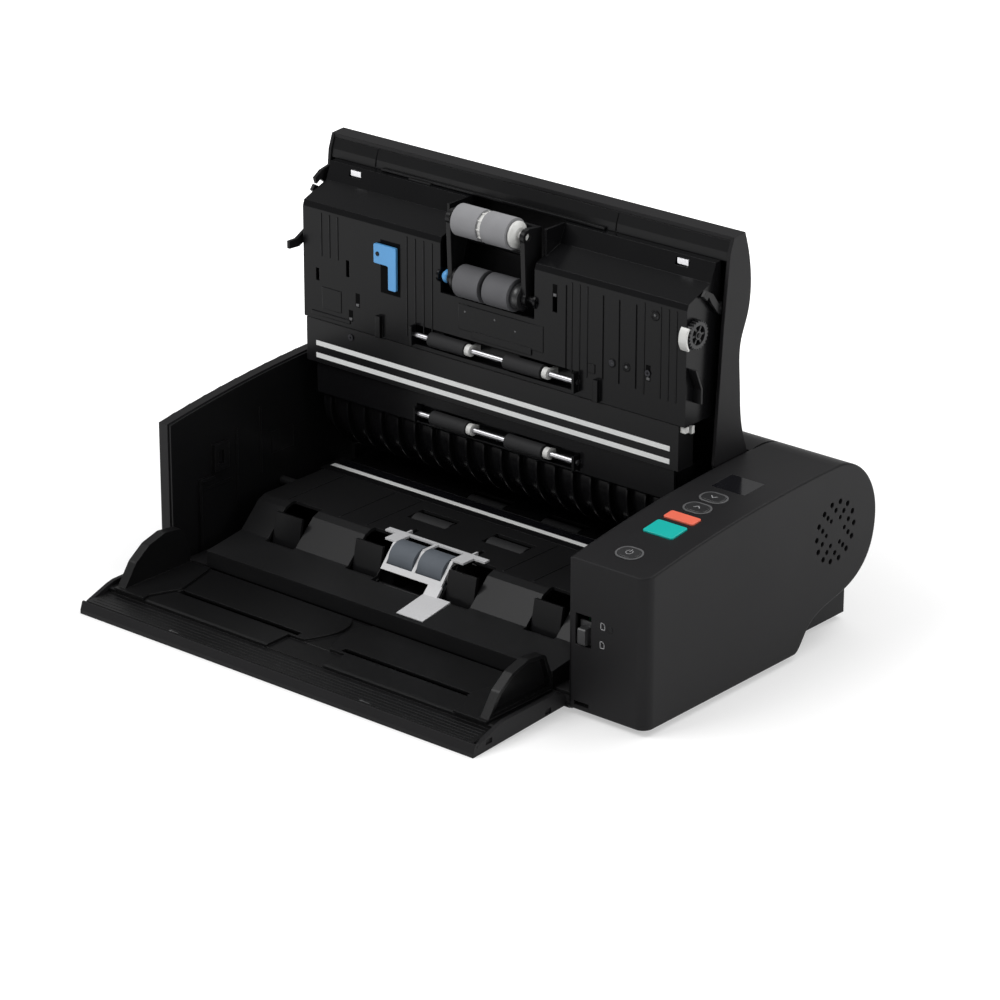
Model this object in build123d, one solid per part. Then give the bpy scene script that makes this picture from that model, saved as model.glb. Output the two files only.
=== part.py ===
from build123d import *
from math import atan2, cos, degrees, hypot, pi, radians, sin, sqrt
import os

# Desktop document scanner, standing open: X to the right, Y to the back, Z up.
# The working frame has x = 0 at mid-width, y = 0 at the front of the control block
# and z = 0 at the lower edge of the side covers. The export moves the origin to the
# middle of the footprint, on the surface that the feet stand on.

# Body
width = 424.0
block_width = 60.4
left_wall = 9.0
frame_plate = 2.0
skin = 2.5
front_height = 104.5
hood_centre = (199.0, 75.0)
hood_radius = 46.0
underside_y = 157.0
lower_curve = [(211.5, 29.0), (171.8, 14.4), (162.4, 2.5)]
front_corner_radius = 8.0
edge_radius = 1.5
frame_inset = 1.0
chassis_half = 194.0
chassis_rear = 237.0
chassis_front = 14.0
rear_wall_split = 22.0
hood_front_angle = 104.5
foot_height = 4.3
foot_radius = 8.0
feet = [(-176.0, 30.0), (176.0, 30.0), (-176.0, 220.0), (176.0, 220.0)]
fit = 0.05
running_gap = 0.4

# Cover hinge: the cover stands open by this angle
hinge_y = 183.6
hinge_z = 93.7
cover_angle = 84.0
trunnion_radius = 4.0
cover_left = -200.0
cover_right = 148.6
cover_skin = 2.5
paper_centre = -26.7

# Paper path
plate_z = 38.6
plate_thickness = 2.4
lip_y = 11.6
lip_z = 14.4
guide_left = -180.0
guide_right = 127.0
drive_radius = 8.0
front_drive_y = 110.8
rear_drive_y = 168.1
rear_plate_z = 34.3
roller_rise = 0.4
nip_gap = 0.4
idler_radius = 5.0
tyre_offset = 33.3
tyre_length = 32.0
shaft_radius = 3.0
idler_shaft_radius = 2.0

# Feed, retard and pickup rollers
ring_pitch = 25.6
ring_width = 21.6
retard_y = 64.3
retard_z = 28.6
retard_radius = 12.0
feed_radius = 11.2
feed_gap = 0.5
pickup_radius = 11.0
pickup_y = 128.0
pickup_z = 251.5
core_radius = 7.0
core_bore = 2.5

# Paper turn
drum_radius = 37.5
drum_closed = (188.0, 79.0)
turn_gap = 7.0
fin_count = 20

# Feed tray
tray_y = 2.1
tray_z = 1.5
tray_left = -200.2
tray_right = 146.9
tray_length = 90.4
tray_drop = 4.3
tray_skin = 2.2
tray_pin_radius = 1.2
panel_top = 8.0
panel_thickness = 2.0
strip_top = 4.6
strip_y = -66.0
centre_top = 6.2
pocket_width = 50.0
pocket_rear = -44.5
pocket_floor = 5.9
slot_y = -40.0
slot_width = 5.0
rack_low = 1.5
rack_height = 2.9
tooth_module = 1.0
pinion_teeth = 16

block_left = width / 2 - block_width
frame_left = -width / 2 + left_wall
inner_left = frame_left + frame_plate
inner_right = block_left - frame_plate
top_radius = (hood_centre[0] ** 2 + (hood_centre[1] + hood_radius - front_height) ** 2) / (
    2 * (hood_centre[1] + hood_radius - front_height)
)
plate_low = plate_z - plate_thickness
drive_z = plate_z + roller_rise - drive_radius
rear_drive_z = rear_plate_z + roller_rise - drive_radius
pitch_radius = tooth_module * pinion_teeth / 2

nodes = {}


def block(x0, x1, y0, y1, z0, z1):
    box = Box(x1 - x0, y1 - y0, z1 - z0)
    return Pos((x0 + x1) / 2, (y0 + y1) / 2, (z0 + z1) / 2) * box


def across(sketch, x0, x1):
    """A side-view sketch, drawn in Y and Z, drawn out from x0 to x1."""
    return extrude(Plane.YZ.offset(x0) * sketch, amount=x1 - x0)


def prism(points, x0, x1):
    return across(make_face(Polyline(*points, close=True)), x0, x1)


def rod(x0, x1, centre, radius):
    return across(Pos(*centre) * Circle(radius), x0, x1)


def tube(x0, x1, centre, radius, bore):
    return across(Pos(*centre) * (Circle(radius) - Circle(bore)), x0, x1)


def group(solids):
    """Several solids as one node."""
    whole = solids[0]
    for solid in solids[1:]:
        whole = whole + solid
    return whole


def opened(y, z):
    """Where a side-view point of the closed cover lies when the cover stands open."""
    turn = radians(-cover_angle)
    dy, dz = y - hinge_y, z - hinge_z
    return (hinge_y + dy * cos(turn) - dz * sin(turn), hinge_z + dy * sin(turn) + dz * cos(turn))


def band(points, thickness):
    """A closed outline of even thickness that lies to the right of a line of points."""
    line = Polyline(*points)
    other = offset(line, amount=thickness, side=Side.RIGHT, closed=True)
    return make_face(other.edges())


def top_z(y):
    reach = hood_centre[0] - y
    return hood_centre[1] + hood_radius - (top_radius - sqrt(top_radius**2 - reach**2))


def top_plane(x, y):
    """A plane on the sloping top of the control block, its Z square to the surface."""
    lean = (hood_centre[0] - y) / top_radius
    return Plane(origin=(x, y, top_z(y)), x_dir=(1, 0, 0), z_dir=(0, -lean, sqrt(1 - lean**2)))


def ring_centres():
    return [paper_centre - ring_pitch / 2, paper_centre + ring_pitch / 2]


def tyre_centres():
    return [paper_centre - tyre_offset, paper_centre + tyre_offset]


# Side outline of the body


def side_outline(inset):
    """The body in side view, with every edge moved inwards by inset."""
    y0, z0 = hood_centre
    radius = hood_radius - inset
    rear, crown = (y0 + radius, z0), (y0, z0 + radius)
    foot = (underside_y - 0.6 * inset, inset)
    lean = sqrt(0.5) * inset
    curve = [(y - lean * share, z + lean) for (y, z), share in zip(lower_curve, (0.7, 1.0, 1.1))]
    front = (inset, top_z(inset) - inset)
    middle = (y0 / 2, top_z(y0 / 2) - inset)
    edges = [
        Line((inset, inset), front),
        ThreePointArc(front, middle, crown),
        CenterArc(hood_centre, radius, 0, 90),
        Spline(rear, *curve, foot, tangents=[(0, -1), (-1, 0)]),
        Line(foot, (inset, inset)),
    ]
    return make_face(edges)


outline = side_outline(0)
inner_outline = side_outline(skin)
frame_outline = side_outline(frame_inset)

# Control block on the right: each button is given as x, y, length and width

button_sizes = {
    "power_button": (180.6, 21.4, 16.0, 11.5),
    "start_button": (181.0, 57.0, 24.0, 17.0),
    "stop_button": (180.5, 75.2, 24.0, 9.6),
    "select_button_front": (179.8, 91.8, 17.0, 11.0),
    "select_button_rear": (179.4, 109.4, 17.0, 11.0),
}
oval_buttons = ("power_button", "select_button_front", "select_button_rear")
button_gap = 0.3
button_corner = 1.6
button_rise = 1.0
button_depth = skin + 0.3
button_flange = 0.8
button_stem = (2.5, 6.0)
bezel_width = 1.4
bezel_rise = 0.5
window_place = (180.0, 134.5)
window_size = (27.0, 22.0)
window_depth = 0.9
lever_slot = (154.8, 167.6, 45.8, 67.4)
lever_travel = 8.0
pull_slot = (154.0, 166.0, 3.4, 6.4)
grille_rings = [(10.0, 6, 1.6), (15.0, 10, 1.8), (20.5, 14, 2.0)]


def button_outline(name, grow):
    x, y, long, short = button_sizes[name]
    corner = short / 2 - 0.1 if name in oval_buttons else button_corner
    face = RectangleRounded(long + 2 * grow, short + 2 * grow, corner + grow)
    return top_plane(x, y) * face


def button(name):
    cap = extrude(button_outline(name, 0.0), amount=button_rise)
    cap += extrude(button_outline(name, 0.0), amount=-button_depth)
    x, y, long, short = button_sizes[name]
    under = top_plane(x, y).offset(-button_depth)
    cap += extrude(under * Rectangle(long + 2 * button_flange, short + 2 * button_flange), amount=-1.0)
    stem_radius, stem_length = button_stem
    cap += extrude(under * Circle(stem_radius), amount=-stem_length)
    rim = cap.faces().sort_by(Axis.Z)[-1].edges()
    return fillet(rim, 0.4)


def right_side_cover():
    """The block's outer shell, open towards the paper path, with its cut-outs."""
    shell = across(outline, block_left, width / 2)
    corner = shell.edges().filter_by(Axis.Z).sort_by(Axis.X)[-1]
    shell = fillet(corner, front_corner_radius)
    rim = [e for e in shell.faces().sort_by(Axis.X)[-1].edges() if e.center().Z > 40]
    shell = fillet(rim, edge_radius)
    shell -= across(inner_outline, block_left - 1, width / 2 - skin)
    shell -= block(block_left - 1, chassis_half + 1.5, skin, 250, -1, 51)
    for name in button_sizes:
        shell -= extrude(button_outline(name, button_gap), amount=-20, both=True)
    window = top_plane(*window_place).offset(-window_depth)
    shell -= extrude(window * Rectangle(*window_size), amount=20)
    x0, x1, z0, z1 = lever_slot
    shell -= block(x0, x1, -1, skin + 1, z0, z1)
    centre_y, centre_z = hood_centre
    for ring, (radius, count, hole) in enumerate(grille_rings):
        for k in range(count):
            turn = 2 * pi * (k + 0.5 * (ring % 2)) / count
            place = (centre_y + radius * cos(turn), centre_z + radius * sin(turn))
            shell -= rod(width / 2 - 6, width / 2 + 1, place, hole)
    x0, x1, z0, z1 = pull_slot
    return shell - block(x0, x1, -1, skin + 1, z0, z1)


def display_window():
    plane = top_plane(*window_place).offset(-window_depth)
    wide, deep = window_size
    return extrude(plane * Rectangle(wide - button_gap, deep - button_gap), amount=window_depth)


def button_bezels():
    solids = []
    for name in oval_buttons:
        ring = extrude(button_outline(name, button_gap + bezel_width), amount=bezel_rise)
        ring -= extrude(button_outline(name, button_gap), amount=2 * bezel_rise, both=True)
        solids.append(Pos(0, 0, 0.03) * ring)
    return group(solids)


def feed_select_lever():
    """A knob in the slot of the block's front, on a foot that slides behind the wall."""
    x0, x1, z0, z1 = lever_slot
    knob = block(x0 + 3.4, x1 - 3.4, -2.2, 5.4, z0 + 1.2, z1 - lever_travel - 1.2)
    knob = chamfer(knob.edges().filter_by(Axis.X).group_by(Axis.Y)[0], 0.8)
    foot = block(x0 + 1.0, x1 + 2.0, 4.0, 6.0, z0 - 4, z1 - lever_travel + 2.4)
    return knob + foot


def lever_rail():
    x1, z0, z1 = lever_slot[1:]
    return block(x1 + 2.4, x1 + 4.4, skin, 8.0, z0 - 6, z1 + 6)


nodes["right_side_cover"] = right_side_cover() + lever_rail()
nodes["display_window"] = display_window()
nodes["button_bezels"] = button_bezels()
nodes["feed_select_lever"] = feed_select_lever()
for name in button_sizes:
    nodes[name] = button(name)

# Left wall and the two inner frames

frame_lug = 2.4
bracket_y = (40.0, 54.0)
bracket_z = (59.0, 78.0)
bracket_depth = 3.6
shaft_seats = [(front_drive_y, drive_z), (rear_drive_y, rear_drive_z)]


def left_side_cover():
    shell = across(outline, -width / 2, frame_left)
    rim = [e for e in shell.faces().sort_by(Axis.X)[0].edges() if e.center().Z > 40]
    shell = fillet(rim, edge_radius)
    return shell - across(inner_outline, -width / 2 + skin, frame_left + 1)


def inner_frame(x0, x1):
    plate = across(frame_outline, x0, x1)
    plate -= block(x0 - 1, x1 + 1, chassis_front - 0.4, chassis_rear + 20, -1, skin)
    plate -= block(x0 - 1, x1 + 1, chassis_rear - skin - 0.2, chassis_rear + 20, -1, 49)
    plate += rod(x0, x1, (tray_y, tray_z), frame_lug)
    plate -= rod(x0 - 1, x1 + 1, (tray_y, tray_z), tray_pin_radius + fit)
    plate -= rod(x0 - 1, x1 + 1, (hinge_y, hinge_z), trunnion_radius + fit)
    for seat in shaft_seats:
        plate -= rod(x0 - 1, x1 + 1, seat, shaft_radius + fit)
    return plate


def left_inner_frame():
    plate = inner_frame(frame_left, inner_left)
    y0, y1 = bracket_y
    z0, z1 = bracket_z
    catch = block(inner_left, inner_left + bracket_depth, y0, y1, z0, z1)
    catch -= block(inner_left + 1.2, inner_left + bracket_depth + 1, y0 + 3, y1 - 5, z0 + 4, z1 - 5)
    ledge = block(inner_left, inner_left + 3.0, 27.0, 40.0, 54.5, 56.5)
    rib = block(inner_left, inner_left + 2.5, 25.5, 27.5, 6.0, 56.5)
    return plate + catch + ledge + rib


def right_inner_frame():
    plate = inner_frame(inner_right, block_left)
    for y, z in [(20, 24), (94, 24), (20, 92), (94, 92)]:
        plate += rod(block_left, block_left + 3.0, (y, z), 3.0)
    return plate


nodes["left_side_cover"] = left_side_cover()
nodes["left_inner_frame"] = left_inner_frame()
nodes["right_inner_frame"] = right_inner_frame()

# Chassis, rear hood and feet: each port is given as x, width, low and high edge

port_depth = 9.0
plug_radius = 3.6
plug_pin_radius = 1.0
vent_count = 12
vent_start = -150.0
vent_pitch = 9.0
port_places = {
    "usb": (70.0, 13.0, 27.0, 38.5),
    "power": (110.0, 11.0, 27.0, 38.0),
    "lock": (150.0, 7.4, 29.0, 32.6),
}


def base_pan():
    front = underside_y + 3
    pan = block(frame_left, chassis_half, chassis_front, front, 0, skin)
    pan += block(-chassis_half, chassis_half, front, chassis_rear, 0, skin)
    pan += block(-chassis_half, chassis_half, chassis_rear - skin, chassis_rear, skin, rear_wall_split)
    for side in (-1, 1):
        edge = side * (chassis_half - skin / 2)
        pan += block(edge - skin / 2, edge + skin / 2, front + 16, chassis_rear - skin, skin, 40)
    for x in (-150, -90, 50, 110):
        pan += block(x - 1.5, x + 1.5, 20, 126, skin, 7.0)
    return pan


def rear_cover():
    y0, z0 = hood_centre
    inner = hood_radius - skin
    reach = chassis_rear - y0
    low = degrees(atan2(-sqrt(hood_radius**2 - reach**2), reach))
    span = hood_front_angle - low
    outer_arc = CenterArc(hood_centre, hood_radius, low, span)
    inner_arc = CenterArc(hood_centre, inner, low, span)
    ring = [outer_arc, inner_arc, Line(outer_arc @ 0, inner_arc @ 0), Line(outer_arc @ 1, inner_arc @ 1)]
    hood = across(make_face(ring), inner_left, inner_right)
    top = (outer_arc @ 0).Y
    wall = block(inner_left, inner_right, chassis_rear - skin, chassis_rear, top - 3.0, top + 0.5)
    wall_right = chassis_half - 0.6
    wall += block(-chassis_half, wall_right, chassis_rear - skin, chassis_rear, rear_wall_split, top - 3.0)
    hood += wall
    for x, wide, low_z, high_z in port_places.values():
        hood -= block(x - wide / 2, x + wide / 2, chassis_rear - 6, chassis_rear + 1, low_z, high_z)
    for k in range(vent_count):
        x = vent_start + vent_pitch * k
        hood -= block(x, x + 3.0, chassis_rear - 6, chassis_rear + 1, 27, 40)
    return hood


def rear_ports():
    solids = []
    wall = chassis_rear - skin
    for name in ("usb", "power"):
        x, wide, z0, z1 = port_places[name]
        half = wide / 2
        body = block(x - half - 2, x + half + 2, chassis_rear - 16, wall, z0 - 2, z1 + 2)
        body += block(x - half + 0.1, x + half - 0.1, wall, chassis_rear - 0.4, z0 + 0.1, z1 - 0.1)
        bottom = chassis_rear - port_depth
        if name == "usb":
            body -= block(x - half + 1.5, x + half - 1.5, bottom, chassis_rear, z0 + 1.6, z1 - 1.6)
            body += block(x - 2.5, x + 2.5, bottom - 1, chassis_rear - 2, z0 + 4.5, z1 - 3.5)
        else:
            barrel = Circle(plug_radius) - Circle(plug_pin_radius)
            hole = Plane.XZ.offset(-bottom) * Pos(x, (z0 + z1) / 2) * barrel
            body -= extrude(hole, amount=-12)
        solids.append(body)
    return group(solids)


def rubber_feet():
    solids = [Pos(x, y, -foot_height / 2) * Cylinder(foot_radius, foot_height) for x, y in feet]
    return group(solids)


nodes["base_pan"] = base_pan()
nodes["rear_cover"] = rear_cover()
nodes["rear_ports"] = rear_ports()
nodes["rubber_feet"] = rubber_feet()

# Lower paper guide with its sensor bar, turn guide and drive rollers

slope_start = (46.0, 19.0)
slope_end = (64.0, 36.4)
slope_flat = 70.0
sensor_y = (132.0, 154.5)
sensor_left = guide_left - 4.0
sensor_right = guide_right + 4.0
strip_place = (139.0, 143.4)
flap_centres = [paper_centre + k for k in (-115.3, -41.5, 41.5, 115.3)]
flap_width = 24.0
flap_gap = 0.8
flap_thickness = 2.4
flap_y = 50.0
flap_z = 12.0
flap_tip = (55.0, 37.0)
flap_window = (43.0, 74.0)
retard_half = 28.2
retard_tab = (-10.8, 12.2)
cheek_y = (60.0, 84.0)
cheek_thickness = 1.6
holder_pin = (81.0, 33.4)
pin_radius = 1.2
ear_window = (75.6, 90.0)
window_gap = 1.0
turn_radius = drum_radius + turn_gap
turn_wall = 2.0
turn_end_angle = 40.0
rib_half = 0.8
pulley_radius = 7.0
pulley_x = block_left + 3.4
pulley_width = 6.0
pulley_rim = 0.8
rim_rise = 1.6


def lower_guide_plate():
    """The bent guide plate with its side cheeks and the windows for flaps and rollers."""
    line = [
        (lip_y, skin + 0.2),
        (lip_y, lip_z),
        slope_start,
        slope_end,
        (slope_flat, plate_z),
        (sensor_y[0] - running_gap, plate_z),
        (sensor_y[0] - running_gap, skin),
    ]
    plate = across(band(line, plate_thickness), guide_left, guide_right)
    inside = [(lip_y + 1, skin), (lip_y + 1, lip_z - 1), slope_start, slope_end, (slope_flat, plate_z - 1)]
    inside += [(sensor_y[0] - 2, plate_z - 1), (sensor_y[0] - 2, skin)]
    cheek = make_face(Polyline(*[(y, z - 0.6 if z > 5 else z) for y, z in inside], close=True))
    for x in (guide_left, guide_right - plate_thickness):
        side = across(cheek, x, x + plate_thickness)
        for seat in shaft_seats:
            side -= rod(x - 1, x + plate_thickness + 1, seat, shaft_radius + running_gap)
        plate += side
    for x in flap_centres:
        half = flap_width / 2 + flap_gap
        plate -= block(x - half, x + half, *flap_window, lip_z + 2.4, plate_z + 5)
    middle = paper_centre
    plate -= block(middle - retard_half, middle + retard_half, 40.0, 78.6, lip_z, plate_z + 5)
    tab_left, tab_right = retard_tab[0] - 0.8, retard_tab[1] + 0.8
    plate -= block(tab_left, tab_right, lip_y + 3.4, 44.0, lip_z - 0.8, plate_z)
    plate += block(tab_left, tab_right, lip_y + 2.0, 41.0, lip_z - 2.6, lip_z - 0.8)
    for x in tyre_centres():
        half = tyre_length / 2 + window_gap
        reach = drive_radius + 0.6
        front, back = front_drive_y - reach, front_drive_y + reach
        plate -= block(x - half, x + half, front, back, drive_z - reach, plate_z + 5)
    for side in (-1, 1):
        x = paper_centre + side * (retard_half + 1.0)
        plate -= block(x - 1.6, x + 1.6, *ear_window, plate_low - 1, plate_z + 1)
    return plate + retard_cheeks()


def retard_cheeks():
    """Two cheeks on a foot that carry the retard shaft and the holder's hinge pins."""
    half = retard_half - 0.9
    cheeks = block(paper_centre - half, paper_centre + half, *cheek_y, skin, skin + 2.0)
    for side in (-1, 1):
        x = paper_centre + side * (half - cheek_thickness / 2)
        x0, x1 = x - cheek_thickness / 2, x + cheek_thickness / 2
        cheek = block(x0, x1, *cheek_y, skin, plate_low - 0.8)
        cheek -= rod(x0 - 1, x1 + 1, (retard_y, retard_z), core_bore + fit)
        cheeks += cheek
        cheeks += rod(*sorted((x, x + side * 4.2)), holder_pin, pin_radius)
        cheeks += block(x0, x1, 79.4, 83.4, skin, plate_low + 0.2)
    return cheeks


def lower_sensor_frame():
    y0, y1 = sensor_y
    frame = block(sensor_left, sensor_right, y0, y1, 18.0, plate_z)
    s0, s1 = strip_place
    frame -= block(sensor_left + 3, sensor_right - 3, s0, s1, plate_z - 1.4, plate_z + 1)
    frame -= block(sensor_left + 6, sensor_right - 6, s1 + 1.2, y1 - 1.2, plate_z - 2.0, plate_z + 1)
    frame -= block(sensor_left + 8, sensor_right - 8, y0 + 2.5, y1 - 2.5, 16.0, plate_z - 4.5)
    for x in (sensor_left + 2, sensor_right - 6):
        frame += block(x, x + 4, y0 + 2, y1 - 2, skin, 18.5)
    return frame


def lower_white_strip():
    s0, s1 = strip_place
    return block(sensor_left + 3.2, sensor_right - 3.2, s0 + 0.1, s1 - 0.1, plate_z - 1.4, plate_z + 0.2)


def lower_sensor_glass():
    y0, y1 = strip_place[1] + 1.3, sensor_y[1] - 1.3
    return block(sensor_left + 6.1, sensor_right - 6.1, y0, y1, plate_z - 2.0, plate_z - 0.1)


def rear_paper_guide():
    """The ribbed guide that turns the sheet round behind the drum, on two legs."""
    y0, z0 = drum_closed
    low = (y0, z0 - turn_radius)
    inner = CenterArc(drum_closed, turn_radius, -90, 90 + turn_end_angle)
    outer = CenterArc(drum_closed, turn_radius + turn_wall, -90, 90 + turn_end_angle)
    start = sensor_y[1] + running_gap
    entry = [low, (rear_drive_y - 5, rear_plate_z), (start, plate_z - 0.7), (start, plate_z - 4.7)]
    entry += [(rear_drive_y - 6, rear_plate_z - turn_wall), (low[0], low[1] - turn_wall)]
    edges = [inner, outer, Line(inner @ 1, outer @ 1)]
    edges += [Line(a, b) for a, b in zip(entry, entry[1:])]
    guide = across(make_face(edges), guide_left - 4, guide_right + 4)
    for x in tyre_centres():
        half = tyre_length / 2 + window_gap
        reach = drive_radius + 0.6
        front, back = rear_drive_y - reach, rear_drive_y + reach
        guide -= block(x - half, x + half, front, back, 20, rear_plate_z + 9)
    for x in (guide_left - 4, guide_right + 4 - 2.4):
        leg = block(x, x + 2.4, start + 1, 214.0, skin, rear_plate_z - 1)
        leg -= rod(x - 1, x + 4, (rear_drive_y, rear_drive_z), shaft_radius + running_gap)
        guide += leg
    pitch = (guide_right - guide_left - 12) / (fin_count - 1)
    for k in range(fin_count):
        x = guide_left + 6 + k * pitch
        rib_arc = CenterArc(drum_closed, turn_radius - 2.2, -50, 50 + turn_end_angle)
        back_arc = CenterArc(drum_closed, turn_radius + 0.5, -50, 50 + turn_end_angle)
        ends = [Line(rib_arc @ 0, back_arc @ 0), Line(rib_arc @ 1, back_arc @ 1)]
        guide += across(make_face([rib_arc, back_arc] + ends), x - rib_half, x + rib_half)
    return guide


def pulley(centre):
    """A belt pulley with a rim on each side."""
    end = pulley_x + pulley_width
    wheel = rod(pulley_x, end, centre, pulley_radius)
    wheel += rod(pulley_x - pulley_rim, pulley_x, centre, pulley_radius + rim_rise)
    return wheel + rod(end, end + pulley_rim, centre, pulley_radius + rim_rise)


def drive_roller(y, z):
    """A shaft with two tyres under the idlers and its pulley behind the block's frame."""
    shaft = rod(frame_left + 0.2, pulley_x + 9.0, (y, z), shaft_radius)
    for x in tyre_centres():
        shaft += rod(x - tyre_length / 2, x + tyre_length / 2, (y, z), drive_radius)
    return shaft + pulley((y, z))


nodes["lower_guide_plate"] = lower_guide_plate()
nodes["lower_sensor_frame"] = lower_sensor_frame()
nodes["lower_white_strip"] = lower_white_strip()
nodes["lower_sensor_glass"] = lower_sensor_glass()
nodes["rear_paper_guide"] = rear_paper_guide()
nodes["front_drive_roller"] = drive_roller(front_drive_y, drive_z)
nodes["rear_drive_roller"] = drive_roller(rear_drive_y, rear_drive_z)

# Drive motor, belt, board and fan inside the control block

motor_place = (140.0, 64.0)
motor_radius = 14.0
motor_length = 26.0
motor_shaft = 2.0
belt_gap = 0.35
belt_thickness = 1.1
fan_half = 20.0
fan_depth = 9.0
fan_pin = 1.5
blade_count = 7


def motor_pulley():
    return pulley(motor_place) - rod(pulley_x - 2, pulley_x + 8, motor_place, motor_shaft + fit)


def feed_motor():
    y, z = motor_place
    face = pulley_x + 9.2
    motor = rod(face, face + motor_length, motor_place, motor_radius)
    motor += block(face - 1.6, face, y - 19, y + 19, z - 22, z + 17)
    motor += rod(pulley_x - 0.4, face, motor_place, motor_shaft)
    for place in [(y - 15.5, z + 13.5), (y + 15.5, z + 13.5), (y, z - 19)]:
        motor += rod(block_left, face - 1.6, place, 2.4)
    return motor


def drive_belt():
    places = [(front_drive_y, drive_z), (rear_drive_y, rear_drive_z), motor_place]
    loops = []
    for radius in (pulley_radius + belt_gap + belt_thickness, pulley_radius + belt_gap):
        circles = [Pos(*place) * Circle(radius) for place in places]
        edges = [e for c in circles for e in c.edges()]
        loops.append(make_hull(edges))
    return across(loops[0] - loops[1], pulley_x + 0.6, pulley_x + pulley_width - 0.6)


def main_board():
    x = block_left + 3.0
    board = block(x, x + 1.6, 14.0, 100.0, 18.0, 98.0)
    for y0, z0, wide, tall in [(30, 40, 18, 18), (58, 34, 12, 12), (60, 66, 22, 14), (28, 70, 10, 16)]:
        board += block(x + 1.6, x + 4.0, y0, y0 + wide, z0, z0 + tall)
    return board


def fan_frame():
    """A square frame round the fan, with a cross that holds its pin."""
    right = width / 2 - skin
    left = right - fan_depth
    y, z = hood_centre
    square = Pos(y, z) * RectangleRounded(2 * fan_half, 2 * fan_half, 4)
    frame = across(square - Pos(y, z) * Circle(fan_half - 1.5), left, right)
    for turn in (0, 90):
        arm = Pos(y, z) * Rot(0, 0, turn) * Rectangle(2 * fan_half - 1, 2.4)
        frame += across(arm, left - 1.2, left + 0.4)
    return frame + rod(left, left + 6.0, hood_centre, fan_pin)


def fan_rotor():
    left = width / 2 - skin - fan_depth + 0.9
    y, z = hood_centre
    rotor = rod(left, left + 6.5, hood_centre, 7.0)
    for k in range(blade_count):
        blade = Pos(y, z) * Rot(0, 0, 360 / blade_count * k) * Pos(11.5, 0) * Rectangle(12.0, 1.4)
        rotor += across(blade, left + 0.5, left + 6.0)
    return rotor - rod(left - 1, left + 5.8, hood_centre, fan_pin + fit)


nodes["motor_pulley"] = motor_pulley()
nodes["feed_motor"] = feed_motor()
nodes["drive_belt"] = drive_belt()
nodes["main_board"] = main_board()
nodes["fan_frame"] = fan_frame()
nodes["fan_rotor"] = fan_rotor()

# Retard roller, its holder and the sheet stoppers

holder_half = 44.2
holder_y = (62.0, 78.0)
holder_low = plate_z + 0.2
holder_thickness = 1.5


def retard_core():
    """The roller's spool: a collar at each end and one between the rings, on a thin shaft."""
    centre = (retard_y, retard_z)
    half = retard_half - 3.2
    left, right = paper_centre - half, paper_centre + half
    core = rod(left, right, centre, core_radius)
    for x0, x1 in [(left, left + 1.2), (paper_centre - 1.0, paper_centre + 1.0), (right - 1.2, right)]:
        core += rod(x0, x1, centre, core_radius + 0.6)
    return core + rod(left - 1.9, right + 1.9, centre, core_bore)


def rings(centre, radius):
    solids = []
    for x in ring_centres():
        solids.append(tube(x - ring_width / 2, x + ring_width / 2, centre, radius, core_radius))
    return group(solids)


def retard_cover():
    """White holder over the retard roller: a top bar, two windows and a front tab."""
    low, high = holder_low, holder_low + holder_thickness
    y0, y1 = holder_y
    bar = block(paper_centre - holder_half, paper_centre + holder_half, y0 + 11, y1, low, high)
    half = retard_half - 1.6
    wide = block(paper_centre - half - 8, paper_centre + half + 8, y0, y1, low, high)
    slope = [(48.0, 24.4), (54.0, 31.4), (61.0, high - 1.0), (66.0, high), (66.0, low), (62.4, low)]
    slope += [(60.6, low - 1.6), (55.4, 30.2), (49.2, 23.4)]
    front = prism(slope, paper_centre - half, paper_centre + half)
    tongue = [(lip_y + 4.4, lip_z + 0.4), (44.0, 19.4), (44.0, 17.8), (lip_y + 4.4, lip_z - 0.7)]
    riser = [(43.0, 19.2), (49.0, 25.4), (50.0, 24.0), (44.6, 17.6), (43.0, 17.4)]
    front += prism(tongue, *retard_tab) + prism(riser, retard_tab[0], retard_tab[0] + 11.6)
    holder = bar + wide + front
    for x in ring_centres():
        span = ring_width / 2 + 0.6
        holder -= block(x - span, x + span, 51.0, retard_y + 11.0, 20.0, high + 4)
    return holder


def retard_cover_hinge(holder):
    """Two ears that hang from the bar down to the pins of the cheeks."""
    y, z = holder_pin
    for side in (-1, 1):
        x = paper_centre + side * (retard_half + 1.0)
        ear = block(x - 0.8, x + 0.8, y - 2.2, y + 2.2, z, holder_low + holder_thickness)
        ear += block(x - 0.8, x + 0.8, holder_y[1] - 2, y + 2.2, holder_low, holder_low + holder_thickness)
        ear += rod(x - 0.8, x + 0.8, holder_pin, 2.2)
        ear -= rod(x - 2, x + 2, holder_pin, pin_radius + fit)
        holder += ear
    return holder


def stopper_flaps():
    """Four flaps on one shaft, which stop the stack and swing back under the guide plate."""
    low = guide_left + plate_thickness + 0.3
    high = guide_right - plate_thickness - 0.3
    flaps = rod(low, high, (flap_y, flap_z), 1.8)
    lean = atan2(flap_tip[0] - flap_y, flap_tip[1] - flap_z)
    length = hypot(flap_tip[0] - flap_y, flap_tip[1] - flap_z)
    blade = Rot(0, 0, -degrees(lean)) * Pos(0, length / 2) * Rectangle(flap_thickness, length)
    blade = Pos(flap_y, flap_z) * blade
    for x in flap_centres:
        flaps += across(blade, x - flap_width / 2, x + flap_width / 2)
        flaps += rod(x - flap_width / 2, x + flap_width / 2, (flap_y, flap_z), 3.2)
    return flaps


nodes["retard_core"] = retard_core()
nodes["retard_rings"] = rings((retard_y, retard_z), retard_radius)
nodes["retard_cover"] = retard_cover_hinge(retard_cover())
nodes["stopper_flaps"] = stopper_flaps()

# Feed tray with its sliding paper guides

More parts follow.
